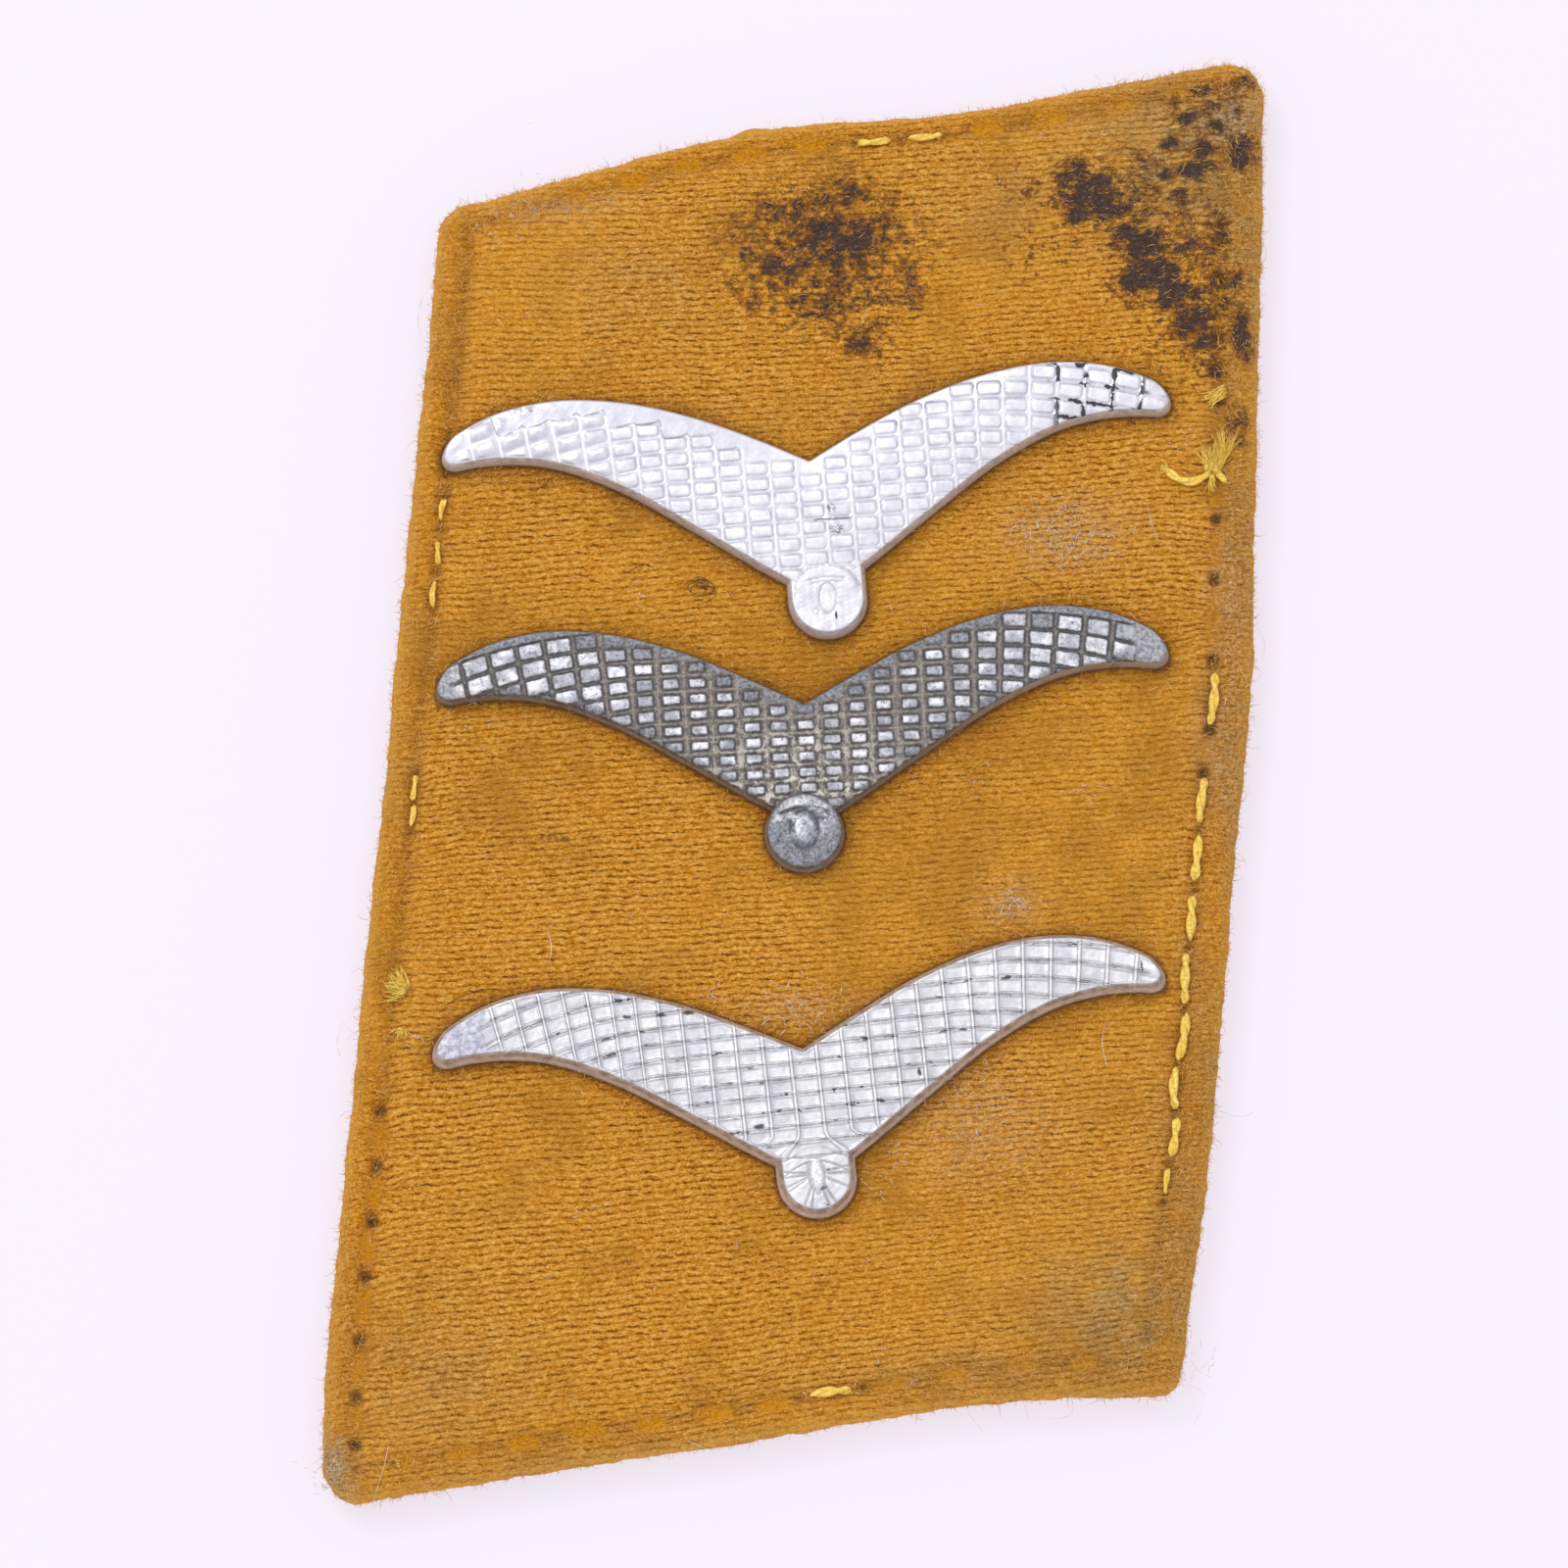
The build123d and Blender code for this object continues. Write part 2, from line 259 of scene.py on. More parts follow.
# The seams' distance from the rim on each side. Each row below is one stitch: how far along its
# seam its middle lies, from the lower or left end, how long it is and how it shows. A bright one
# lies on the cloth, a sunk one leaves an unfaded pinch between two holes, a snug one only the pinch,
# a worn one little of both.
SEAM_IN = {"left": 1.35, "top": 1.05, "right": 1.65, "bottom": 1.3}
SEWN = {
    "right": [(1.6, 1.4, "worn"), (3.8, 1.4, "worn"), (5.6, 0.8, "worn"), (7.4, 0.9, "bright"),
              (9.3, 1.5, "bright"), (11.4, 1.6, "bright"), (13.6, 1.9, "bright"),
              (16.1, 2.0, "bright"), (18.7, 1.75, "bright"), (21.3, 1.8, "bright"),
              (23.8, 1.8, "bright"), (26.0, 1.25, "sunk"), (28.2, 2.1, "bright"),
              (31.7, 2.6, "sunk"), (34.7, 1.9, "sunk"), (37.2, 1.6, "sunk"), (40.0, 1.8, "sunk"),
              (42.6, 1.6, "sunk"), (45.2, 1.7, "sunk"), (47.7, 1.5, "sunk"), (50.1, 1.2, "worn")],
    "left": [(1.9, 1.2, "sunk"), (4.1, 1.6, "sunk"), (6.8, 1.8, "sunk"), (9.3, 1.6, "sunk"),
             (11.7, 1.5, "sunk"), (14.0, 1.5, "sunk"), (16.1, 1.3, "worn"), (22.9, 1.3, "worn"),
             (25.6, 1.2, "worn"), (27.9, 0.7, "bright"), (29.1, 0.9, "bright"), (31.6, 1.3, "worn"),
             (33.8, 0.9, "worn"), (36.0, 1.0, "worn"), (37.5, 0.95, "bright"), (39.3, 0.8, "bright"),
             (41.2, 0.7, "bright"), (43.6, 1.2, "worn"), (46.2, 1.2, "worn"), (49.3, 1.1, "worn"),
             (51.8, 0.9, "worn")],
    "top": [(2.2, 1.0, "snug"), (5.0, 1.1, "snug"), (7.6, 1.1, "snug"), (9.9, 1.2, "snug"),
            (12.6, 1.3, "snug"), (15.3, 1.2, "snug"), (18.0, 1.25, "bright"), (20.2, 1.25, "bright"),
            (22.9, 1.2, "snug"), (25.6, 1.2, "snug"), (28.6, 1.1, "snug"), (31.2, 0.7, "snug")],
    "bottom": [(2.2, 0.6, "snug"), (4.6, 1.2, "snug"), (7.2, 1.2, "snug"), (9.9, 1.3, "snug"),
               (12.6, 1.2, "snug"), (15.3, 1.3, "snug"), (17.9, 1.2, "snug"), (20.3, 1.6, "bright"),
               (22.9, 1.3, "snug"), (25.6, 1.3, "snug"), (28.3, 1.2, "snug"), (31.0, 1.0, "snug")],
}
HOLE_DEPTH = {"bright": 0.50, "sunk": 1.0, "snug": 0.12, "worn": 0.30}
HOLE_PAST = 0.25
SHARED_HOLE = 1.3


def seam_line(side):
    """A side's seam, from its lower or left end."""
    order = ("left", "top", "right", "bottom")
    line = outline_sides(SEAM_IN[side])[order.index(side)]
    return line[::-1] if side in ("right", "bottom") else line


stitches, holes = [], []
r = np.random.default_rng(5)
for side, rows in SEWN.items():
    line = seam_line(side)
    length = np.linalg.norm(np.diff(line, axis=0), axis=1).sum()
    for at, long, kind in rows:
        a, b = walk(line, np.array([at - long / 2, at + long / 2]) / length)
        out = np.array([b[1] - a[1], a[0] - b[0]]) / long
        a, b = a + out * r.normal() * 0.06, b + out * r.normal() * 0.06
        stitches.append({"from": a, "to": b, "kind": kind})
    reach = [(at - long / 2, at + long / 2, HOLE_DEPTH[kind]) for at, long, kind in rows]
    marks = [(reach[0][0] - HOLE_PAST, reach[0][2])]
    for before, after in zip(reach, reach[1:]):
        depth = max(before[2], after[2])
        if after[0] - before[1] < SHARED_HOLE:
            marks.append(((before[1] + after[0]) / 2, depth))
        else:
            marks += [(before[1] + HOLE_PAST, before[2]), (after[0] - HOLE_PAST, after[2])]
    marks.append((reach[-1][1] + HOLE_PAST, reach[-1][2]))
    for at, depth in marks:
        place = walk(line, np.array([at / length]))[0] + r.normal(size=2) * 0.05
        holes.append((*place, depth * r.uniform(0.75, 1.0)))

# Soiled places on the face, in the photograph's pixels: where each lies, its two radii, its strength.
STAINS = {
    "ink": [(872, 250, 32, 20, 1.0), (843, 238, 36, 18, 0.85), (792, 275, 20, 11, 0.9),
            (838, 262, 100, 82, 0.52), (806, 222, 44, 24, 0.58), (860, 205, 42, 22, 0.5),
            (905, 225, 24, 26, 0.5), (880, 357, 16, 10, 0.75), (895, 333, 10, 9, 0.7),
            (765, 250, 22, 32, 0.45), (930, 300, 26, 36, 0.42), (850, 315, 44, 32, 0.48),
            (1228, 93, 14, 7, 0.85), (1268, 86, 14, 10, 0.85), (1212, 122, 18, 7, 0.85),
            (1244, 129, 12, 7, 0.75), (1268, 156, 16, 20, 1.0), (1226, 154, 18, 12, 0.85),
            (1196, 150, 12, 8, 0.75), (1220, 176, 20, 12, 0.85), (1190, 181, 14, 9, 0.75),
            (1206, 198, 14, 9, 0.7), (1098, 182, 22, 22, 0.75), (1114, 204, 30, 24, 1.0),
            (1136, 216, 20, 16, 0.95), (1100, 222, 16, 14, 0.8), (1168, 222, 14, 9, 0.75),
            (1150, 240, 20, 15, 0.85), (1170, 256, 24, 20, 1.0), (1182, 280, 30, 24, 1.0),
            (1160, 292, 22, 16, 0.95), (1200, 304, 24, 22, 0.95), (1216, 330, 22, 20, 0.85),
            (1232, 352, 17, 16, 0.8), (1240, 380, 12, 16, 0.75), (1250, 242, 9, 16, 0.75),
            (1262, 290, 9, 18, 0.7), (1268, 345, 11, 24, 0.95), (1262, 440, 12, 22, 0.6),
            (1218, 255, 36, 66, 0.42), (1165, 195, 60, 45, 0.37), (1235, 120, 50, 38, 0.40),
            (1240, 300, 30, 66, 0.42)],
    "rust": [(880, 350, 36, 30, 0.7), (850, 260, 100, 78, 0.55), (1170, 270, 70, 65, 0.55),
             (1215, 345, 52, 62, 0.62), (548, 500, 34, 12, 0.3),
             (1110, 205, 65, 52, 0.55), (1045, 190, 45, 30, 0.45), (1060, 260, 60, 50, 0.42),
             (680, 760, 40, 14, 0.3), (560, 860, 60, 24, 0.3), (1160, 440, 30, 10, 0.45)],
    "olive": [(1205, 165, 105, 90, 0.9), (1265, 240, 30, 150, 0.8), (1262, 520, 24, 210, 0.6),
              (1258, 800, 26, 170, 0.7), (1150, 1335, 95, 72, 0.85), (1205, 1250, 35, 150, 0.6),
              (1225, 1050, 22, 160, 0.45), (345, 1490, 26, 38, 0.9), (440, 1400, 90, 70, 0.4),
              (360, 1400, 30, 110, 0.22), (425, 640, 18, 45, 0.25), (415, 790, 18, 80, 0.22),
              (455, 330, 16, 120, 0.12), (650, 290, 80, 50, 0.30), (1040, 210, 90, 50, 0.35),
              (800, 420, 220, 30, 0.12), (985, 1395, 160, 26, 0.45), (600, 1480, 160, 22, 0.3)],
    "pale": [(1265, 120, 22, 24, 1.0), (345, 1490, 20, 30, 0.85), (1090, 548, 60, 34, 0.5),
             (1030, 925, 34, 22, 0.45), (1252, 610, 16, 60, 0.45), (560, 215, 70, 12, 0.5),
             (990, 1010, 40, 20, 0.25), (815, 1030, 60, 16, 0.4), (1000, 1150, 70, 60, 0.35),
             (940, 470, 60, 30, 0.2), (1235, 780, 20, 60, 0.4), (520, 1050, 60, 14, 0.25)],
}

left, top, right, bottom = ring(ROLL)
across, up = ACROSS[None, :, None], UP[:, None, None]
flat = ((1 - up) * bottom[None] + up * top[None] + (1 - across) * left[:, None]
        + across * right[:, None] - (1 - across) * (1 - up) * bottom[0]
        - across * (1 - up) * bottom[-1] - (1 - across) * up * top[0] - across * up * top[-1])
face = np.concatenate([flat, np.full(flat.shape[:2] + (1,), TAB_THICK)], -1)

# The cloth's section past its face, as places in from the outline and heights: over the rolled
# rim, in under the hem, round its cut edge, out again to the fold and in along the face's underside.
PROFILE = [(ROLL * (1 - sin(a)), TAB_THICK - ROLL * (1 - cos(a)))
           for a in np.radians([9, 18, 28, 38, 48, 58, 68, 79, 90])]
PROFILE += [(0.0, TAB_THICK / 2)]
PROFILE += [(ROLL * (1 - sin(a)), ROLL * (1 - cos(a))) for a in np.radians([90, 75, 58, 40, 20, 0])]
PROFILE += [(d, 0.0) for d in (1.6, 2.4, 3.2, 4.0, 4.8, 5.6, 6.3, 6.75)]
PROFILE += [(6.95, 0.10), (7.04, 0.5), (6.95, 0.95), (6.7, 1.04)]
PROFILE += [(d, 1.05) for d in (5.5, 4.0, 2.6, 1.6, 1.15)]
PROFILE += [(1.05, 1.10), (1.15, 1.14), (1.8, 1.13), (3.5, 1.12), (6.0, 1.10), (8.5, 1.10)]
rim = around(*ring(0))
run = np.linspace(0, RIM_LENGTH, len(rim))
wobble = wander(run, 3, 17) * 0.07 + wander(run, 6, 2.6) * 0.04 + wander(run, 9, 1.0) * 0.025
rings = []
for inset, height in PROFILE:
    row = around(*ring(inset))
    out = unit(around(*ring(0)) - around(*ring(1.0)))
    share = max(0, 1 - inset / 1.4)
    bump = 0.22 * np.exp(-((row[:, 0] - 0.2) / 0.6) ** 2) * (row[:, 1] > 20)
    row = row + out * ((wobble + bump) * share)[:, None]
    rings.append(np.column_stack([row, np.full(len(row), height)]))
cloth = shell("cloth", face, rings)

spots = places(cloth)
x, y, z = spots.T
plan = spots[:, :2]
outline = np.concatenate([s[:-1] for s in outline_sides(0)])
from_rim = to_line(plan, outline[::3], closed=True)
on_face = z > TAB_THICK - ROLL - 0.001

seam, pinch, hole = np.full(len(x), 1e9), np.zeros(len(x)), np.zeros(len(x))
for side in SEAM_IN:
    away = to_line(plan, seam_line(side)[::2])
    seam = np.minimum(seam, away)
pull_x, pull_y = np.zeros(len(x)), np.zeros(len(x))
PINCH = {"bright": 0.35, "sunk": 1.0, "snug": 0.90, "worn": 0.45}
for stitch in stitches:
    middle = (stitch["from"] + stitch["to"]) / 2
    along = unit(stitch["to"] - stitch["from"])
    half = np.linalg.norm(stitch["to"] - stitch["from"]) / 2 * (1.45 if stitch["kind"] == "snug" else 1.0)
    local = plan - middle
    run = local @ along
    off = np.abs(local @ np.array([-along[1], along[0]]))
    near = np.exp(-np.abs(run / half) ** 4) * np.exp(-(off / (0.46 - 0.14 * np.abs(run) / half)) ** 2)
    strength = PINCH[stitch["kind"]]
    pinch = np.maximum(pinch, strength * near)
    reach = np.exp(-(off / 1.1) ** 2 - (run / (half + 0.35)) ** 2)
    pull = run[:, None] * along * (reach * (0.25 + 0.35 * strength))[:, None]
    pull_x += pull[:, 0]
    pull_y += pull[:, 1]
for a, b, strength in holes:
    away = np.hypot(x - a, y - b)
    hole = np.maximum(hole, strength * np.exp(-(away / 0.30) ** 2))

dip = 0.18 * np.exp(-(seam / 0.40) ** 2) + 0.20 * pinch + 0.40 * hole
swell = 0.06 * patch(x, y, 4, 11.0) + 0.06 * np.exp(-((from_rim - 2.9) / 0.8) ** 2)
swell += 0.018 * patch(x, y, 14, 1.7)
z = np.where(on_face & (from_rim > 0.25), z + (swell - dip) * step_between(0.25, 0.9, from_rim), z)
cloth.data.vertices.foreach_set("co", np.column_stack([x, y, z]).astype(np.float32).ravel() * np.float32(MM))

slant = 0.062 * step_between(-9, -28, y) - 0.045 * step_between(6, 22, y) * step_between(12, -6, x)
weave_x = x + pull_x + 0.15 * patch(x, y, 8, 14.0)
weave_y = y + pull_y - x * slant + 0.12 * patch(x, y, 9, 17.0)
give_map(cloth, "weave", weave_x, weave_y)
give(cloth, "from_rim", from_rim)
give(cloth, "seam", np.exp(-(seam / 0.24) ** 2) * on_face)
felted = np.zeros(len(x))
for line, share in zip(outline_sides(0), (0.70, 0.50, 0.80, 0.25)):
    felted = np.maximum(felted, share * step_between(1.95, 0.9, to_line(plan, line[::3])))
give(cloth, "felted", felted)
give(cloth, "pinch", pinch * on_face)
give(cloth, "hole", hole * on_face)
for name, rows in STAINS.items():
    total = np.zeros(len(x))
    for across_px, down_px, wide, high, strength in rows:
        a, b = from_photo(across_px, down_px)
        total = np.maximum(total, strength * np.exp(-((x - a) * PIXELS_ACROSS / wide) ** 2
                                                    - ((y - b) * PIXELS_ACROSS / high) ** 2))
    give(cloth, name, total * on_face)


def maths(kind, turned=False):
    """One kind of sum, as an operator of Value."""
    def work(self, other=0.0):
        first, second = (other, self) if turned else (self, other)
        return self.finish.sum(kind, first, second)
    return work


class Value:
    """A number or colour that a material works out at each point. Its sums are written as usual."""
    __add__ = __radd__ = maths("ADD")
    __mul__ = __rmul__ = maths("MULTIPLY")
    __sub__, __rsub__ = maths("SUBTRACT"), maths("SUBTRACT", turned=True)
    __truediv__, __abs__ = maths("DIVIDE"), maths("ABSOLUTE")

    def __init__(self, finish, socket):
        self.finish, self.socket = finish, socket

    def step(self, low, high, to_low=0.0, to_high=1.0):
        """A smooth step from one number, where the value is low, to another, where it is high."""
        return self.finish.add("MapRange", self, low, high, to_low, to_high, interpolation_type="SMOOTHSTEP")

    def bell(self, wide):
        """1 where the value is 0, falling to 0 about twice wide away."""
        return abs(self).step(0.0, wide * 1.8, 1.0, 0.0)

    def mix(self, share, other):
        """This colour with a share of another over it."""
        return self.finish.mix(share, self, other)


def larger(*values, kind="MAXIMUM"):
    """The largest of some values, of which one may be a plain number."""
    total = values[0]
    for value in values[1:]:
        finish = (total if isinstance(total, Value) else value).finish
        total = finish.sum(kind, total, value)
    return total


def smaller(*values):
    return larger(*values, kind="MINIMUM")


class Finish:
    """A material and the short names by which its nodes are added."""

    def __init__(self, name):
        self.material = bpy.data.materials.new(name)
        self.material.use_nodes = True
        self.nodes = self.material.node_tree.nodes
        self.links = self.material.node_tree.links
        self.nodes.clear()
        self.shader = self.nodes.new("ShaderNodeBsdfPrincipled")
        end = self.nodes.new("ShaderNodeOutputMaterial")
        self.links.new(self.shader.outputs[0], end.inputs[0])

    def put(self, socket, value):
        if isinstance(value, Value):
            self.links.new(value.socket, socket)
        elif isinstance(value, tuple) and len(value) == 3 and socket.type == "RGBA":
            socket.default_value = value + (1.0,)
        else:
            socket.default_value = value

    def put_named(self, node, sockets):
        for name, value in sockets.items():
            self.put(node.inputs[name], value)

    def add(self, kind, *values, out=0, **settings):
        node = self.nodes.new("ShaderNode" + kind)
        for key, value in settings.items():
            setattr(node, key, value)
        for socket, value in zip(node.inputs, values):
            if value is not None:
                self.put(socket, value)
        return Value(self, node.outputs[out])

    def sum(self, kind, a, b=0.0):
        return self.add("Math", a, b, operation=kind)

    def __getitem__(self, name):
        """One of the numbers that were given to the points of the mesh."""
        return self.add("Attribute", attribute_name=name, out=2)

    def noise(self, where, scale, detail=2.0, rough=0.5, twist=0.0):
        node = self.nodes.new("ShaderNodeTexNoise")
        self.put_named(node, {"Vector": where, "Scale": scale, "Detail": detail, "Roughness": rough,
                              "Distortion": twist})
        return Value(self, node.outputs[0])

    def mix(self, share, a, b):
        """A colour between two."""
        return self.add("Mix", share, *[None] * 5, a, b, out=2, data_type="RGBA")

    def blend(self, share, a, b):
        """A number between two."""
        return self.add("Mix", share, None, a, b)

    def spot(self, x, y):
        return self.add("CombineXYZ", x, y)

    def far(self, x, y):
        """How far the place x, y lies from 0, 0."""
        return self.add("VectorMath", self.spot(x, y), operation="LENGTH", out=1)

    def flat_map(self, name):
        across = self.add("SeparateXYZ", self.add("UVMap", uv_map=name))
        return across, Value(self, across.socket.node.outputs[1])

    def stretch(self, where, shares):
        """A place in a pattern that is squeezed by a share on each axis."""
        return self.add("VectorMath", where, shares, operation="MULTIPLY")

    def object_mm(self):
        return self.stretch(self.add("TexCoord", out=3), (METRE, METRE, METRE))

    def cover(self, thing, colour, roughness, height, depth_mm):
        """Puts the material, its colour and its fine relief on a piece."""
        bump = self.nodes.new("ShaderNodeBump")
        self.put_named(bump, {"Strength": 1.0, "Distance": depth_mm * MM, "Height": height})
        self.put_named(self.shader, {"Base Color": colour, "Roughness": roughness,
                                     "Normal": Value(self, bump.outputs[0])})
        thing.data.materials.append(self.material)


YARN_PITCH = 0.297
FLOAT_LONG = 0.90
YARN_PAINTED_SHADE = (0.190, 0.052, 0.001)
YARN = (0.670, 0.242, 0.004)
YARN_PAINTED_HIGHLIGHT = (1.000, 0.555, 0.110)
UNFADED = (0.900, 0.390, 0.008)
INK = (0.042, 0.031, 0.038)
RUST = (0.150, 0.045, 0.012)

wool = Finish("wool_satin")
wx, wy = wool.flat_map("weave")
mm = wool.object_mm()
# The weave: rows of yarn a third of a millimetre apart, in short floats. Between the rows a tick of
# shade shows wherever two floats part, and its place steps on from row to row.
wiggle = wool.noise(wool.spot(wx, wy * 0.4), 1.5, 2.0, 0.65)
rows = (wiggle * 0.22 + wy) / YARN_PITCH
furrow = wool.sum("ROUND", rows)
row_luck = wool.add("TexWhiteNoise", None, furrow, noise_dimensions="1D")
drift = wool.noise(wool.spot(wx * 0.45, furrow * 3.7), 1.0, 1.0)
run = wx / FLOAT_LONG + row_luck * 0.5 + furrow * 0.38 + drift * 1.3
number = wool.sum("FLOOR", run)
in_float = run - number - 0.5
luck = wool.add("TexWhiteNoise", wool.spot(number, furrow), noise_dimensions="2D")
nap = wool.noise(wool.stretch(mm, (1.0, 1.1, 1.0)), 6.5, 3.0, 0.85, 0.8)
off = abs(luck * 0.07 + in_float * 0.08 + (rows - furrow) * YARN_PITCH - 0.035) + nap * 0.16 - 0.08
along = abs(in_float) / (luck * 0.26 + 0.22)
thick = 0.031 - along * along * 0.04
tick = (off - thick).step(0.034, -0.034) * luck.step(0.02, 0.6, 0.25, 1.0)
crown = abs(rows - furrow).step(0.04, 0.36)
fibres = wool.noise(wool.spot(wx * 3.6, wy * 12.0), 1.0, 3.0, 0.76)
strand = wool.noise(wool.spot(wx * 1.7, (in_float * 0.12 + wy) * 7.0), 1.0, 1.0, 0.6, 0.4)
curl = wool.noise(wool.stretch(mm, (0.6, 1.3, 1.0)), 5.5, 3.0, 0.78, 1.0)
worn = wool.noise(mm, 0.30, 3.0, 0.62)
felt = larger(wool["felted"], worn.step(0.47, 0.72, 0.0, 0.5), wool["beside_gull"], wool["pinch"] * 0.75)
height = crown * 0.24 - tick * 0.36 + fibres * 1.8 + strand * 0.55 + nap * 1.75 - 1.56
matted = curl * 1.9 + fibres + nap * 1.7 - 1.8
height = wool.blend(felt * 0.8, height, matted)
# The yarn's colour follows the weave's relief: painted shade in the low ticks and furrows, painted highlight
# on the raised fibres and strands.
colour = wool.mix(height * 2.0, YARN_PAINTED_SHADE, YARN)
colour = colour.mix(height * 2.0 - 1.0, YARN_PAINTED_HIGHLIGHT)
tone = wool.noise(mm, 0.11, 3.0, 0.6)
colour = colour.mix(tone.step(0.42, 0.66, 0.0, 0.28), (0.88, 0.4, 0.03))
shade = wool.noise(mm, 0.21, 3.0, 0.6)
colour = colour.mix(shade.step(0.47, 0.7, 0.0, 0.38), (0.34, 0.135, 0.012))
edge = wool["from_rim"].step(0.55, 0.05) * curl.step(0.35, 0.6, 0.25, 0.65)
colour = colour.mix(edge, (0.92, 0.47, 0.07))
# Painted shade along the seam's valley.
seam_valley_shade = wool["seam"] * curl.step(0.62, 0.38, 0.05, 0.55)
colour = colour.mix(seam_valley_shade, (0.22, 0.085, 0.012))
# Painted shade darkens the cloth round each gull.
colour = colour.mix(wool["beside_gull"] * curl.step(0.6, 0.38, 0.15, 0.7), (0.16, 0.062, 0.014))
# A painted contact shadow: a thin dark line on the cloth right at each gull's edge.
colour = colour.mix(wool["near_gull"].step(0.2, 0.04, 0.0, 0.6), (0.15, 0.052, 0.022))
unfaded = wool["pinch"].step(0.25, 0.8) * curl.step(0.3, 0.58, 0.35, 1.0)
colour = colour.mix(unfaded, wool.mix(fibres.step(0.3, 0.55), (0.52, 0.185, 0.005), UNFADED))
soiled = wool["olive"] * wool.noise(mm, 0.8, 3.0, 0.7).step(0.28, 0.68, 0.3, 1.0)
# The soiling follows the same relief: painted shade on the low yarn and painted highlight on the raised yarn,
# over the stain's own colour.
soil = wool.mix(height * 2.0, (0.085, 0.058, 0.02), (0.27, 0.195, 0.08))
soil = soil.mix(height * 2.0 - 1.0, (0.58, 0.46, 0.26))
colour = colour.mix(soiled * 0.85, soil)
dust = wool["pale"] * curl.step(0.42, 0.6)
colour = colour.mix(dust, wool.mix(nap.step(0.35, 0.65), (0.36, 0.29, 0.18), (0.74, 0.65, 0.5)))
red = wool.noise(mm, 2.6, 3.0, 0.7) * 1.5 + wool["rust"] - 0.86
colour = colour.mix(red.step(0.3, 0.6, 0.0, 0.6), RUST)
specks = wool.noise(mm, 2.6, 2.0, 0.55).step(0.575, 0.63) * wool["rust"].step(0.1, 0.36, 0.0, 0.62)
colour = colour.mix(specks, (0.125, 0.043, 0.017))
# Ink soaks along the rows, so its edge is ragged that way, and stands in separate flecks where thin.
soak = wool.noise(wool.spot(wx, wy * 1.15), 1.35, 4.0, 0.78, 0.3)
ink = soak * 2.7 + wool["ink"] + fibres * 0.22 - nap * 0.55 - 0.86
soaked = wool["ink"].step(0.04, 0.22)
colour = colour.mix(ink.step(0.4, 0.78, 0.0, 0.66) * soaked, (0.155, 0.055, 0.016))
colour = colour.mix(ink.step(0.72, 1.02, 0.0, 0.88) * soaked,
                    wool.mix(nap.step(0.5, 0.7), INK, (0.19, 0.13, 0.1)))
# Painted shade in the needle holes: dark round each hole, nearly black at its middle.
pit = curl * 1.1 + wool["hole"] - 0.55
colour = colour.mix(pit.step(0.15, 0.55, 0.0, 0.75), (0.2, 0.075, 0.012))
colour = colour.mix(pit.step(0.5, 0.95, 0.0, 0.92),
                    wool.mix(nap.step(0.42, 0.66), (0.04, 0.022, 0.012), (0.26, 0.17, 0.09)))
wool.put_named(wool.shader, {"Specular IOR Level": 0.10, "Sheen Weight": 0.14, "Sheen Roughness": 0.5,
                             "Sheen Tint": (1.0, 0.72, 0.35)})
wool.cover(cloth, colour, fibres.step(0.3, 0.8, 0.95, 0.70), height, 0.075)
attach(cloth, "root")
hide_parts("tab_cloth")

# The three gulls. Each is one small metal casting with two prongs, which go through the cloth and
# are bent flat behind it. Their face has a cast grid, and their head an oval boss.
GULL_SPAN = 31.2
WING_DEPTH = 8.8
COLUMN_PITCH = 1.12
ROW_PITCH = 0.68
ROW_SPREAD = 0.26
LATTICE_STRAIGHT = 6.5
COLUMN_LEAN = 17.0
ROW_FALL = 2.0
HEAD_RADIUS = 1.7
SEAT_GAP = 0.06
TIP_ROUND, TIP_SWEEP = 0.74, 86
WING_COLUMNS, TIP_COLUMNS = 600, 30

WING = [
    {"out": 0.000, "upper": -0.155, "lower": -0.790},
    {"out": 0.130, "upper": -0.035, "lower": -0.655},
    {"out": 0.320, "upper": 0.125, "lower": -0.440},
    {"out": 0.520, "upper": 0.235, "lower": -0.222},
    {"out": 0.710, "upper": 0.262, "lower": -0.085},
    {"out": 0.870, "upper": 0.200, "lower": -0.055},
    {"out": 0.950, "upper": 0.128, "lower": -0.068},
    {"out": 1.000, "upper": 0.070, "lower": -0.086},
]
GULLS = [
    {"name": "upper", "across": 0.068, "up": 0.499, "tilt": 0.2, "arch": 0.90, "hang": 1.08,
     "head_across": 0.020, "head_up": -0.845, "wall": 0.20, "face": 0.98, "crown": 0.10},
    {"name": "middle", "across": 0.024, "up": 0.143, "tilt": -1.3, "arch": 1.00, "hang": 0.98,
     "head_across": -0.018, "head_up": -0.785, "wall": 0.17, "face": 0.94, "crown": 0.08},
    {"name": "lower", "across": -0.033, "up": -0.357, "tilt": 1.9, "arch": 1.00, "hang": 1.05,
     "head_across": 0.000, "head_up": -0.790, "wall": 0.32, "face": 1.00, "crown": 0.04},
]
# From the face's edge down to the underside: shares of the way out and of the way down.
WALL = [(0.10, 0.012), (0.24, 0.05), (0.42, 0.13), (0.60, 0.28), (0.76, 0.50), (0.90, 0.78), (1.0, 1.0)]


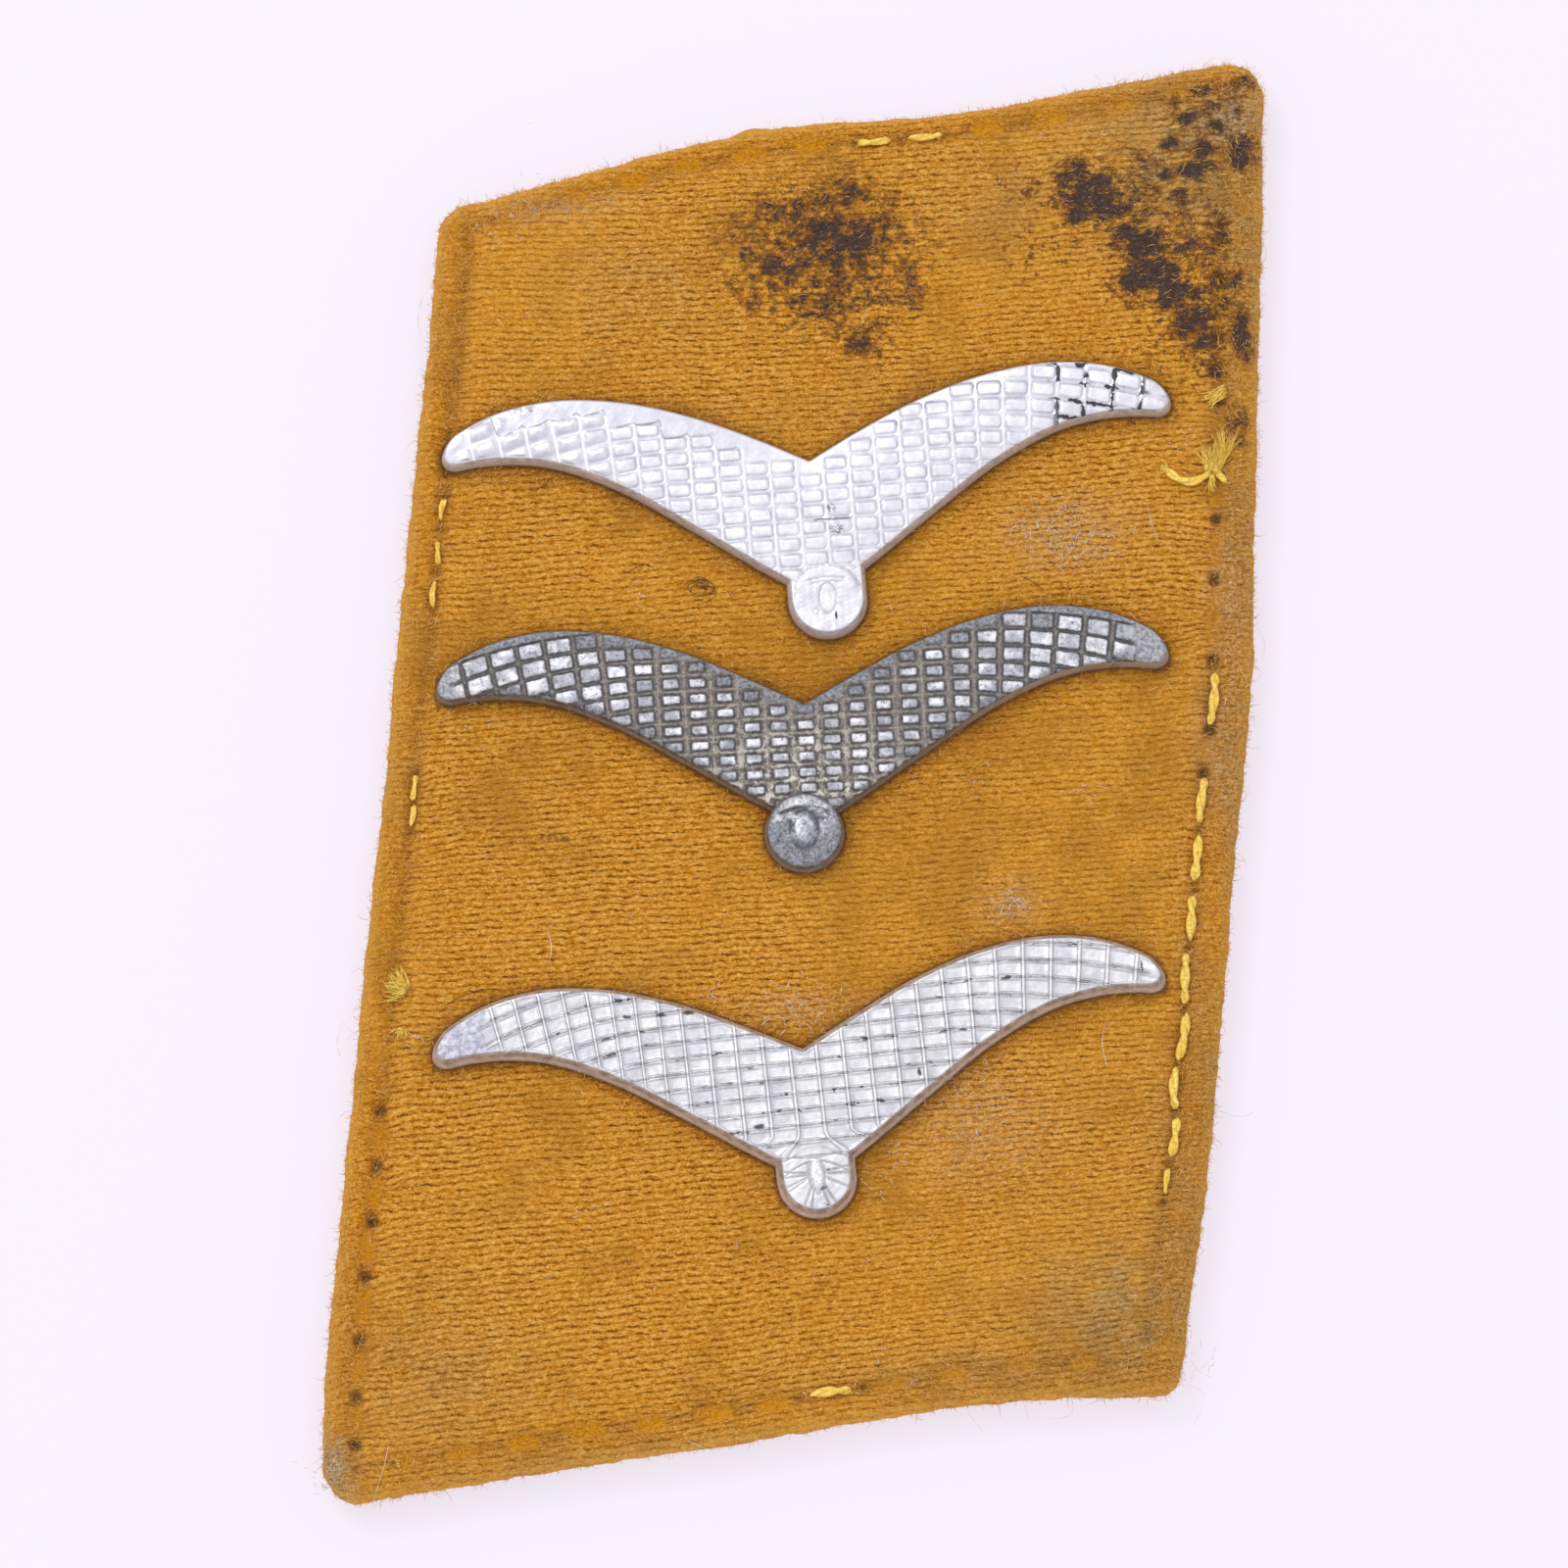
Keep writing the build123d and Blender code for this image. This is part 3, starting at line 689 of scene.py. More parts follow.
def smooth(xs, ys, at):
    """A smooth line through a few points."""
    xs, ys = np.array(xs), np.array(ys)
    slope = np.gradient(ys, xs)
    i = np.clip(np.searchsorted(xs, at) - 1, 0, len(xs) - 2)
    h = xs[i + 1] - xs[i]
    t = (at - xs[i]) / h
    return ((2 * t ** 3 - 3 * t ** 2 + 1) * ys[i] + (t ** 3 - 2 * t ** 2 + t) * h * slope[i]
            + (3 * t ** 2 - 2 * t ** 3) * ys[i + 1] + (t ** 3 - t ** 2) * h * slope[i + 1])


def wing_edges(gull, x):
    """The wings' upper and lower edge on the cloth, at x."""
    out = np.clip(np.abs(x) / (GULL_SPAN / 2), 0, 1)
    upper = [row["upper"] * WING_DEPTH * (gull["arch"] if row["upper"] > 0 else 1) for row in WING]
    lower = [row["lower"] * WING_DEPTH * (1 + (gull["hang"] - 1) * (1 - row["out"] ** 2)) for row in WING]
    outs = [row["out"] for row in WING]
    return smooth(outs, upper, out), smooth(outs, lower, out)


def wing_run(gull, s, inset):
    """Across the wings at shares s from tip to tip: place, middle and half depth, moved in."""
    end = GULL_SPAN / 2 - inset
    curl = TIP_ROUND - 0.75 * inset
    straight = 1 - TIP_COLUMNS / WING_COLUMNS
    past = np.clip((np.abs(s) - straight) / (1 - straight), 0, 1) * radians(TIP_SWEEP)
    x = np.sign(s) * (np.minimum(np.abs(s) / straight, 1) * (end - curl) + curl * np.sin(past))
    upper, lower = wing_edges(gull, x)
    low, high = wing_edges(gull, x - 0.02), wing_edges(gull, x + 0.02)
    lean = [np.minimum(np.sqrt(1 + ((high[k] - low[k]) / 0.04) ** 2), 1.4) for k in (0, 1)]
    upper, lower = upper - inset * lean[0], lower + inset * lean[1]
    return x, (upper + lower) / 2, (upper - lower) / 2 * np.cos(past)


def neck_fan(gull, x, y):
    """On the lower gull, the two ridges above the head turn out to the corners of its neck, and the
    ridges of the outer left wing stand closer."""
    if gull["name"] != "lower":
        return x
    over_head = from_head(gull, x, y)[1]
    x = x + np.minimum(x + 4.5, 0) * 0.20
    return x / (1 + 1.35 * step_between(2.0, 0.85, over_head) ** 1.6)


def head_place(gull):
    """The middle of a gull's head."""
    return gull["head_across"] * GULL_SPAN / 2, gull["head_up"] * WING_DEPTH


def from_head(gull, x, y):
    """A place on a gull, seen from the middle of its head."""
    x0, y0 = head_place(gull)
    return x - x0, y - y0


def past_straight(a):
    """How far out a column lies past the lattice's straight middle, up to 1 at the tip."""
    return np.maximum(0, np.abs(a) - LATTICE_STRAIGHT) / (GULL_SPAN / 2 - LATTICE_STRAIGHT)


def to_lattice(gull, x, y):
    """Where a point lies in the straight lattice: outwards the columns lean, and the rows fall
    and spread."""
    x = neck_fan(gull, x, y)
    a = x.copy()
    for _ in range(8):
        past = past_straight(a)
        b = (y + ROW_FALL * past ** 2) / (1 + ROW_SPREAD * past)
        a = x - tan(radians(COLUMN_LEAN)) * past * b * np.sign(x)
    return a / COLUMN_PITCH, b / ROW_PITCH


def from_lattice(a, b):
    """Back from the straight lattice to the gull."""
    a, b = a * COLUMN_PITCH, b * ROW_PITCH
    past = past_straight(a)
    return (a + tan(radians(COLUMN_LEAN)) * past * b * np.sign(a),
            b * (1 + ROW_SPREAD * past) - ROW_FALL * past ** 2)


def dice(a, b, seed):
    """A number from 0 to 1 for each whole pair, the same each time."""
    n = np.sin(a * 127.1 + b * 311.7 + seed * 74.7) * 43758.5453
    return n - np.floor(n)


def box_distance(a, b, half_a, half_b, radius):
    """How far a point lies outside a rounded rectangle."""
    p, q = np.abs(a) - half_a + radius, np.abs(b) - half_b + radius
    return np.hypot(np.maximum(p, 0), np.maximum(q, 0)) + np.minimum(np.maximum(p, q), 0) - radius


def cell_of(gull, x, y):
    """The cell over each point: its number, the point's place in it, and how far its middle lies
    under the wing's upper edge."""
    a, b = to_lattice(gull, x, y)
    column, row = np.round(a), np.floor(b)
    middle_x, middle_y = from_lattice(column, row + 0.5)
    below = wing_edges(gull, middle_x)[0] - middle_y
    return column, row, (a - column) * COLUMN_PITCH, (b - row - 0.5) * ROW_PITCH, below


WING_ROWS = {"upper": 92, "middle": 92, "lower": 112}
HEAD_CELLS = 82
PLAIN_RIM = 0.60
UPPER_PAD = (0.460, 0.268, 0.15)
MIDDLE_PAD = (0.335, 0.190, 0.09)
MIDDLE_GROWTH = (0.12, 0.085)


def upper_plain(x):
    """How wide the smooth rim along the upper gull's upper edge is."""
    return PLAIN_RIM * step_between(2.6, -1.5, x) * step_between(-15.6, -11.0, x) + 0.05


def wing_relief(gull, x, y):
    """Height of the cast grid on the wings, in millimetres."""
    column, row, du, dv, below = cell_of(gull, x, y)
    lower = wing_edges(gull, x)[1]
    one, two, three = (dice(column, row, k) for k in (1, 2, 3))
    du, dv = du + (one - 0.5) * 0.06, dv + (two - 0.5) * 0.05
    lean = du * (two - 0.5) * 0.06 + dv * (three - 0.5) * 0.10
    border = step_between(0.02, 0.22, y - lower)
    if gull["name"] == "upper":
        domed = step_between(-6.5, -10.0, x)
        d = box_distance(du, dv, UPPER_PAD[0] + 0.03 * (two - 0.5), UPPER_PAD[1] + 0.03 * (three - 0.5),
                         UPPER_PAD[2] + 0.05 * (one - 0.3))
        cast = border * step_between(0.22, 0.32, below - upper_plain(x))
        cast = cast * step_between(15.1, 14.4, np.abs(x))
        cast = cast * step_between(1.42, 1.60, np.hypot(*from_head(gull, x, y)))
        pad = 0.030 * step_between(0.05, -0.10, d) - 0.022 * np.exp(-(d / 0.05) ** 2)
        dome = 0.115 * step_between(0.10, -0.30, d) + 0.05 * (dv - du * 0.3) * step_between(0.1, -0.1, d)
        return cast * (pad * (1 - 0.7 * domed) + dome * domed + lean * step_between(0.05, -0.05, d))
    if gull["name"] == "middle":
        grow = step_between(4.0, 11.0, np.abs(x))
        wide = MIDDLE_PAD[0] + MIDDLE_GROWTH[0] * grow + 0.05 * (two - 0.5)
        high = MIDDLE_PAD[1] + MIDDLE_GROWTH[1] * grow + 0.04 * (three - 0.5)
        d = box_distance(du, dv, wide, high, MIDDLE_PAD[2])
        cast = (border * step_between(0.18, 0.50, below) * step_between(14.5, 13.7, x)
                * step_between(-15.3, -14.5, x))
        thread = np.maximum(np.exp(-((np.abs(du) - COLUMN_PITCH / 2) / 0.06) ** 2),
                            np.exp(-((np.abs(dv) - ROW_PITCH / 2) / 0.045) ** 2)) * (1 - grow)
        groove = (-0.095 + 0.02 * grow) * step_between(-0.06, 0.06, d) + 0.05 * thread
        shallow = 0.45 + 0.55 * step_between(0.4, 0.9, below)
        return cast * shallow * (groove + lean * step_between(0.05, -0.05, d))
    across_line = np.abs(du) - COLUMN_PITCH / 2
    along_line = np.abs(dv) - ROW_PITCH / 2
    column_ridge = np.exp(-(across_line / 0.042) ** 2)
    row_ridge = np.exp(-((along_line + 0.075) / 0.032) ** 2) + 0.5 * np.exp(-(along_line / 0.028) ** 2)
    cast = border * step_between(14.0, 13.0, -x) * step_between(15.3, 14.6, x)
    cast = cast * step_between(0.95, 1.35, np.hypot(x * 0.6, from_head(gull, x, y)[1]))
    side = np.minimum(np.abs(across_line), 0.25) / 0.25
    cell = -0.070 * step_between(0.02, 0.16, np.minimum(-across_line, -along_line + 0.02)) * side
    return cast * (0.070 * column_ridge + 0.046 * row_ridge * (1 - column_ridge) + cell + lean * 0.9)


def head_relief(gull, x, y):
    """Height of the head's face over its rim, from its middle, in millimetres, and how far each
    point lies in one of its cut lines."""
    r = np.hypot(x, y)
    if gull["name"] == "upper":
        oval = np.hypot(x / 0.36, (y + 0.05) / 0.66)
        lines = 0.8 * np.exp(-((oval - 1) / 0.14) ** 2)
        for up, wide in ((0.66, 0.8), (0.84, 0.95)):
            line = y - up + 0.16 * x ** 2
            lines = np.maximum(lines, np.exp(-(line / 0.05) ** 2)
                               * step_between(wide, wide - 0.25, np.abs(x)))
        lines = np.maximum(lines, 0.8 * np.exp(-((np.hypot(x + 0.52, y + 0.62) - 0.12) / 0.045) ** 2))
        lines = np.maximum(lines, np.exp(-((r - 1.36) / 0.045) ** 2) * step_between(-0.3, 0.4, y))
        recess = 0.045 * (oval < 1) * step_between(-0.5, 0.6, y)
        rough = 0.012 * patch(x, y, 31, 0.9)
        return 0.02 * (1 - (r / HEAD_RADIUS) ** 2) - 0.032 * lines - recess + rough, lines
    if gull["name"] == "middle":
        oval = np.hypot(x / 0.50, (y - 0.03) / 0.68)
        ring_cut = np.exp(-((oval - 1.20) / 0.12) ** 2)
        bow = y - 0.98 + 0.22 * x ** 2
        under_brow = np.exp(-((bow + 0.03) / 0.06) ** 2) * step_between(1.2, 0.9, np.abs(x))
        brow = 0.06 * step_between(0, 0.1, bow) * step_between(1.2, 0.9, np.abs(x))
        dome = 0.10 * (1 - np.clip(r / HEAD_RADIUS, 0, 1) ** 2) + 0.10 * step_between(1.1, 0.6, oval)
        lines = np.maximum(ring_cut, under_brow)
        return dome + brow - 0.06 * lines + 0.03 * patch(x, y, 32, 0.6), lines
    oval = np.hypot(x / 0.30, (y - 0.06) / 0.66)
    boss = 0.13 * step_between(1.15, 0.6, oval)
    turn = np.arctan2(y - 0.1, x)
    rays = 0.8 * np.exp(-((oval - 1.22) / 0.10) ** 2)
    for degree in (-4, -28, -62, -74, -104, -116, -152, -160, -178, 8, 172):
        off = np.abs(np.angle(np.exp(1j * (turn - radians(degree))))) * r
        rays = np.maximum(rays, np.exp(-(off / 0.045) ** 2) * step_between(0.30, 0.5, r))
    lines = rays * (y < 0.55)
    for up, bend in ((0.62, 0.30), (0.80, -0.10), (1.02, 0.16)):
        lines = np.maximum(lines, np.exp(-((y - up + bend * x ** 2) / 0.045) ** 2))
    return boss - 0.05 * lines * (oval > 1.05) + 0.01 * patch(x, y, 33, 0.7), lines * (oval > 1.05)


def to_seat(gull, points):
    """From a gull's own place to where it lies on the cloth."""
    turn = radians(gull["tilt"])
    x = points[..., 0] * cos(turn) - points[..., 1] * sin(turn) + gull["across"] * TAB_WIDE / 2
    y = points[..., 0] * sin(turn) + points[..., 1] * cos(turn) + gull["up"] * TAB_LONG / 2
    return np.stack([x, y, points[..., 2] + TAB_THICK + SEAT_GAP], -1)


def from_seat(gull, x, y):
    """Back from the cloth to the gull's own place, seen from above."""
    turn = radians(-gull["tilt"])
    x, y = x - gull["across"] * TAB_WIDE / 2, y - gull["up"] * TAB_LONG / 2
    return x * cos(turn) - y * sin(turn), x * sin(turn) + y * cos(turn)


def on_gull(gull, place):
    """A place on a gull from where the photograph shows it, in its pixels."""
    return from_seat(gull, *from_photo(*place))


def walls(top, base):
    """Rings of points from the edge of a face down to the underside."""
    return [np.column_stack([top[:, :2] + (base - top[:, :2]) * out, top[:, 2] * (1 - down)])
            for out, down in WALL]


def casting(name, gull, grid, rim, base):
    """One form of a casting, with a number that tells its sides from its face."""
    thing = shell(name, to_seat(gull, grid), [to_seat(gull, p) for p in walls(rim, base)])
    give(thing, "wall", np.concatenate([np.zeros(grid.shape[0] * grid.shape[1]),
                                        np.repeat([w[0] for w in WALL], len(rim))]))
    return thing


def make_wings(gull):
    """The wings: a grid of points with the cast relief, on walls that slope out to the cloth."""
    s = np.linspace(-1, 1, WING_COLUMNS + 1)
    t = np.linspace(-1, 1, WING_ROWS[gull["name"]] + 1)[:, None]
    x, middle, half = wing_run(gull, s, gull["wall"])
    grid = np.stack([np.broadcast_to(x, (len(t), len(s))), middle + half * t], -1)
    bx, bmiddle, bhalf = wing_run(gull, s, 0.0)
    base = np.stack([np.broadcast_to(bx, (len(t), len(s))), bmiddle + bhalf * t], -1)
    gx, gy = grid[..., 0], grid[..., 1]
    crown = gull["crown"] * (1 - np.abs(t) ** 2.5) * np.minimum(half / 1.2, 1)
    edge = half * (1 - np.abs(t))
    relief = wing_relief(gull, gx, gy) * step_between(0.0, 0.10, edge)
    height = gull["face"] - 0.03 + crown + relief + 0.007 * patch(gx, gy, 41, 1.3)
    off_head = np.hypot(*from_head(gull, gx, gy)) - (HEAD_RADIUS - gull["wall"] - 0.06)
    height = height - (0.12 + relief) * step_between(0.0, -0.10, off_head)
    grid = np.concatenate([grid, height[..., None]], -1)
    return casting("wings", gull, grid, frame_of(grid), frame_of(base))


def make_head(gull):
    """The head: a disc made from a square grid, on a wall that slopes out to the cloth. On the upper
    and the lower gull it has straight sides above its middle."""
    s = np.linspace(-1, 1, HEAD_CELLS + 1)
    a, b = np.meshgrid(s, s)
    disc_x, disc_y = a * np.sqrt(1 - b ** 2 / 2), b * np.sqrt(1 - a ** 2 / 2)
    if gull["name"] != "middle":
        high = {"upper": 0.95, "lower": 0.62}[gull["name"]]
        disc_x, disc_y = np.where(b > 0, a, disc_x), np.where(b > 0, b * high, disc_y)
    x0, y0 = head_place(gull)
    inner = HEAD_RADIUS - gull["wall"] - 0.04
    gx, gy = disc_x * inner, disc_y * inner
    bx, by = disc_x * HEAD_RADIUS, disc_y * HEAD_RADIUS
    over_wing = step_between(-0.6, 1.3, gy)
    level = gull["face"] - 0.01 + {"upper": 0.075, "middle": 0.105, "lower": 0.045}[gull["name"]] * over_wing
    if gull["name"] == "upper":
        level = level - 0.11 * step_between(1.38, 1.50, np.hypot(gx, gy)) * step_between(0.1, 0.5, gy)
    relief, lines = head_relief(gull, gx, gy)
    grid = np.stack([gx + x0, gy + y0, level + relief], -1)
    base = frame_of(np.stack([bx + x0, by + y0], -1))
    thing = casting("head", gull, grid, frame_of(grid), base)
    give(thing, "cut", np.concatenate([lines.ravel(), np.zeros(len(thing.data.vertices) - lines.size)]))
    return thing


def select(things):
    bpy.ops.object.select_all(action="DESELECT")
    for thing in things:
        thing.select_set(True)
    bpy.context.view_layer.objects.active = things[0]


def make_prongs(gull):
    """The two prongs, cut from the frame's own solid below the casting."""
    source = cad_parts["gull_" + gull["name"]]
    mesh = source.data.copy()
    thing = bpy.data.objects.new("prongs", mesh)
    bpy.context.scene.collection.objects.link(thing)
    select([thing])
    bpy.ops.object.mode_set(mode="EDIT")
    bpy.ops.mesh.select_all(action="SELECT")
    bpy.ops.mesh.remove_doubles(threshold=1e-6)
    bpy.ops.mesh.bisect(plane_co=(0, 0, (TAB_THICK + SEAT_GAP - 0.01) * MM), plane_no=(0, 0, 1),
                        use_fill=True, clear_outer=True, threshold=1e-7)
    bpy.ops.object.mode_set(mode="OBJECT")
    mesh.materials.clear()
    return thing


def join(name, things):
    select(things)
    bpy.ops.object.join()
    things[0].name = name
    return things[0]


def soften(line, times=2):
    """A line with its corners cut round."""
    line = np.asarray(line, float)
    for _ in range(times):
        a, b = line[:-1] * 0.75 + line[1:] * 0.25, line[:-1] * 0.25 + line[1:] * 0.75
        line = np.concatenate([line[:1], np.stack([a, b], 1).reshape(-1, line.shape[1]), line[-1:]])
    return line


def scalloped_crack(gull):
    """Along the upper gull's left wing, the crack between the smooth rim and the first pads."""
    line = []
    for column in range(-12, -2):
        rows = np.arange(12, -14, -1)
        middle_x, middle_y = from_lattice(np.full(len(rows), float(column)), rows + 0.5)
        upper = wing_edges(gull, middle_x)[0]
        first = rows[np.argmax(upper - middle_y - upper_plain(middle_x) > 0.27)]
        for da, db in ((-0.50, 0.95), (-0.30, 0.86), (0.05, 0.90), (0.35, 1.02), (0.46, 1.16)):
            line.append(from_lattice(np.array(column + da), np.array(first + db)))
    return soften(line)


def dress(gull, thing):
    """The lattice map and the numbers that a gull's finish reads."""
    points = places(thing)
    x, y = from_seat(gull, points[:, 0], points[:, 1])
    below = cell_of(gull, x, y)[-1]
    hx, hy = from_head(gull, x, y)
    give_map(thing, "lattice", *to_lattice(gull, x, y))
    numbers = {"out_x": x, "up_y": y, "from_foot": y - wing_edges(gull, x)[1], "cell_top": below,
               "from_head": np.hypot(hx, hy), "head_x": hx, "head_y": hy}
    if gull["name"] == "upper":
        numbers["cell_top"] = below - upper_plain(x)
        numbers["crack"] = to_line(np.column_stack([x, y]), scalloped_crack(gull))
    for name, values in numbers.items():
        give(thing, name, values)


def gull_outline(gull):
    """The gull's outline on the cloth, wings and head, as two closed runs of points."""
    x, middle, half = wing_run(gull, np.linspace(-1, 1, 121), 0.0)
    wings = np.concatenate([np.stack([x, middle - half], 1), np.stack([x, middle + half], 1)[::-1]])
    turn = np.linspace(0, 2 * pi, 40)
    head = np.stack([np.cos(turn), np.sin(turn)], 1) * HEAD_RADIUS
    head += head_place(gull)
    return [to_seat(gull, np.column_stack([run, np.zeros(len(run))]))[:, :2] for run in (wings, head)]


def under_gull(px, py, grow=0.0):
    """Which points of the cloth a gull covers."""
    covered = np.zeros(len(px), bool)
    for gull in GULLS:
        x, y = from_seat(gull, px, py)
        upper, lower = wing_edges(gull, x)
        on_wing = (y < upper + grow) & (y > lower - grow) & (np.abs(x) < GULL_SPAN / 2 + grow)
        hx, hy = from_head(gull, x, y)
        covered |= on_wing | (np.hypot(hx, hy) < HEAD_RADIUS + grow)
    return covered


gull_pieces = []
beside = np.full(len(plan), 1e9)
for gull in GULLS:
    wings, head = make_wings(gull), make_head(gull)
    prongs = make_prongs(gull)
    marks = np.concatenate([np.full(len(part.data.vertices), part is head) for part in (wings, head, prongs)])
    piece = join("casting_" + gull["name"], [wings, head, prongs])
    dress(gull, piece)
    give(piece, "head", marks)
    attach(piece, "root")
    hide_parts("gull_" + gull["name"])
    gull_pieces.append(piece)
    for run in gull_outline(gull):
        beside = np.minimum(beside, to_line(plan, run, closed=True))
# The cloth round a gull is felted, and painted shade darkens it there.
felted_and_shaded = np.exp(-(beside / (0.42 + 0.16 * patch(x, y, 51, 3.0))) ** 2) * (0.75 + 0.2 * patch(x, y, 52, 2.4))
give(cloth, "beside_gull", np.clip(felted_and_shaded, 0, 1) * on_face)
give(cloth, "near_gull", np.where(under_gull(x, y), -beside, beside))


def lattice_nodes(metal):
    """The grid's cell, the place in it and a chance number for it, as nodes."""
    a, b = metal.flat_map("lattice")
    column, row = metal.sum("ROUND", a), metal.sum("FLOOR", b)
    pair = metal.spot(column, row)
    du = (a - column) * COLUMN_PITCH
    dv = (b - row - 0.5) * ROW_PITCH
    chance = metal.add("TexWhiteNoise", pair, noise_dimensions="2D")
    return du, dv, chance


def box_nodes(metal, du, dv, half_u, half_v, radius):
    """How far the place lies outside a rounded rectangle, as nodes."""
    p = abs(du) + radius - half_u
    q = abs(dv) + radius - half_v
    far = metal.far(larger(p, 0.0), larger(q, 0.0))
    near = smaller(larger(p, q), 0.0)
    return far + near - radius


def round_spot(metal, x, y, at, radii):
    """1 in the middle of an oval place, falling to 0 at its rim, as nodes."""
    u = (x - at[0]) / radii[0]
    v = (y - at[1]) / radii[1]
    return metal.far(u, v).step(1.0, 0.4)


def side_walls(metal, colour, start, tones):
    """The casting's side walls over a colour, as nodes: its bevel, its dull side and its foot, which is
    painted lighter and warmer as a painted reflection of the cloth. Gives the colour and the walls' share."""
    wall = metal["wall"]
    share = wall.step(start, start + 0.2)
    patchy = metal.noise(metal.object_mm(), 2.4, 3.0, 0.6).step(0.36, 0.64)
    side = metal.mix(patchy, tones[0], tones[1])
    # Painted reflection: where the wall meets the cloth, its foot is painted a lighter, warmer tone.
    foot_cloth_reflection = wall.step(0.52, 0.8) * (patchy * 0.35 + 0.55)
    side = side.mix(foot_cloth_reflection, tones[2])
    return colour.mix(share * 0.95, side), share


# Upper gull: bright frosted aluminium, pads with fine grooves round them and a smooth rim over the
# left wing. Black dirt fills the grooves at the right tip, and the sides are dull grey.
gull, piece = GULLS[0], gull_pieces[0]
bright = Finish("bright_casting")
mm = bright.object_mm()
du, dv, _ = lattice_nodes(bright)
wing = 1.0 - bright["head"]
x_out, y_up = bright["out_x"], bright["up_y"]
d = box_nodes(bright, du, dv, *UPPER_PAD)
cast = bright["cell_top"].step(0.22, 0.32) * wing
domed = x_out.step(-6.5, -10.0)
fade = bright.noise(mm, 1.2, 2.0).step(0.38, 0.62, 0.35, 1.0)
line = d.bell(0.04) * cast * fade * (1.0 - domed * 0.85)
between = (abs(du) - COLUMN_PITCH / 2).bell(0.045) * cast
grain = bright.noise(mm, 10.0, 3.0, 0.65)
cloudy = bright.noise(mm, 1.7, 4.0, 0.65)
cast = cast * bright["from_head"].step(1.45, 1.6)
colour = bright.mix(cloudy.step(0.3, 0.7), (0.66, 0.655, 0.72), (0.86, 0.86, 0.91))
field = d.step(-0.03, 0.03) * cast
colour = colour.mix(field * 0.42, (0.58, 0.57, 0.66))
# Painted shade: the lower part of each pad is darker lavender, most on the domed left wing.
pad_lower_shade = dv.step(0.06, -0.24) * du.step(0.3, -0.3, 0.35, 1.0) * cast
colour = colour.mix(pad_lower_shade * (domed * 0.5 + 0.1), (0.5, 0.49, 0.6))
# Painted highlight: the ridges between the columns are painted near white, most on the domed left wing.
colour = colour.mix(between * (domed * 0.4 + 0.5), (0.95, 0.95, 0.98))
colour = colour.mix(line * 0.5, (0.38, 0.37, 0.44))
plain = bright["crack"].step(0.02, 0.1) * bright["cell_top"].step(0.42, 0.12) * wing * x_out.step(1.0, -5.0)
colour = colour.mix(plain * 0.55, (0.56, 0.56, 0.64))
colour = colour.mix(bright["cut"] * 0.48, (0.36, 0.34, 0.4))
ragged = bright.noise(mm, 2.4, 3.0, 0.7) * 0.34
black = larger((abs(du) + ragged).step(0.64, 0.675), (abs(dv) + ragged).step(0.425, 0.455)
               * bright.noise(mm, 0.9, 2.0, 0.6).step(0.44, 0.48))
black = black * x_out.step(10.2, 10.8) * x_out.step(14.9, 14.3)
black = black * bright.noise(mm, 1.4, 3.0, 0.6).step(0.42, 0.47)
scallop = (d - 0.03).bell(0.04) * bright["cell_top"].step(1.02, 0.9) * dv.step(-0.05, 0.08) * cast
scallop = scallop * bright.noise(mm, 0.9, 2.0).step(0.46, 0.54, 0.1, 1.0)
scallop = scallop * x_out.step(3.0, 3.8) * x_out.step(10.0, 8.8)
crack = bright["crack"].step(0.062, 0.022) * bright.noise(mm, 1.1, 3.0, 0.7).step(0.4, 0.5, 0.15, 0.95)
crack = crack * x_out.step(-1.0, -7.0, 0.2, 1.0) * bright["wall"].step(0.05, 0.0) * wing
# A thin dark scratch over the middle, with broken bits of dirt above and under it, a nick in the
# head and a grey mark near the left tip, each in the photograph's pixels.
SCRATCH, NICK, GREY_MARK = (850, 539), (853, 637), (536, 429)
mark_x, mark_y = on_gull(gull, SCRATCH)
wave = bright.noise(mm, 2.0, 2.0) * 0.2 + y_up - (mark_y + 0.1)
flaw = wave.bell(0.034) * abs(x_out - mark_x).step(0.92, 0.7)
bits = (bright.noise(mm, 4.2, 2.0, 0.6) - 0.5).bell(0.04)
around_mark = larger(round_spot(bright, x_out, y_up, (mark_x - 0.05, mark_y + 0.48), (0.26, 0.34)),
                     round_spot(bright, x_out, y_up, (mark_x + 0.12, mark_y - 0.48), (0.46, 0.34)))
flaw = larger(flaw, bits * around_mark) * 0.85
nick = round_spot(bright, x_out, y_up, on_gull(gull, NICK), (0.07, 0.24))
grey_mark = (round_spot(bright, x_out, y_up, on_gull(gull, GREY_MARK), (0.9, 0.35))
             * bright.noise(mm, 4.0, 3.0).step(0.48, 0.6))
dirt = larger(black, larger(scallop, crack) * 0.5, flaw, nick)
colour = colour.mix(grey_mark * 0.6, (0.22, 0.25, 0.26))
colour = colour.mix(dirt, (0.025, 0.023, 0.035))
colour, wall = side_walls(bright, colour, 0.22,
                          ((0.40, 0.375, 0.38), (0.66, 0.635, 0.66), (0.60, 0.52, 0.46)))
dull = larger(dirt, wall * 0.7)
height = grain * 0.35 + cloudy * 0.8 - line * 0.8
bright.put_named(bright.shader, {"Metallic": 0.9 - dull * 0.85})
bright.cover(piece, colour, cloudy.step(0.3, 0.7, 0.52, 0.38), height, 0.022)

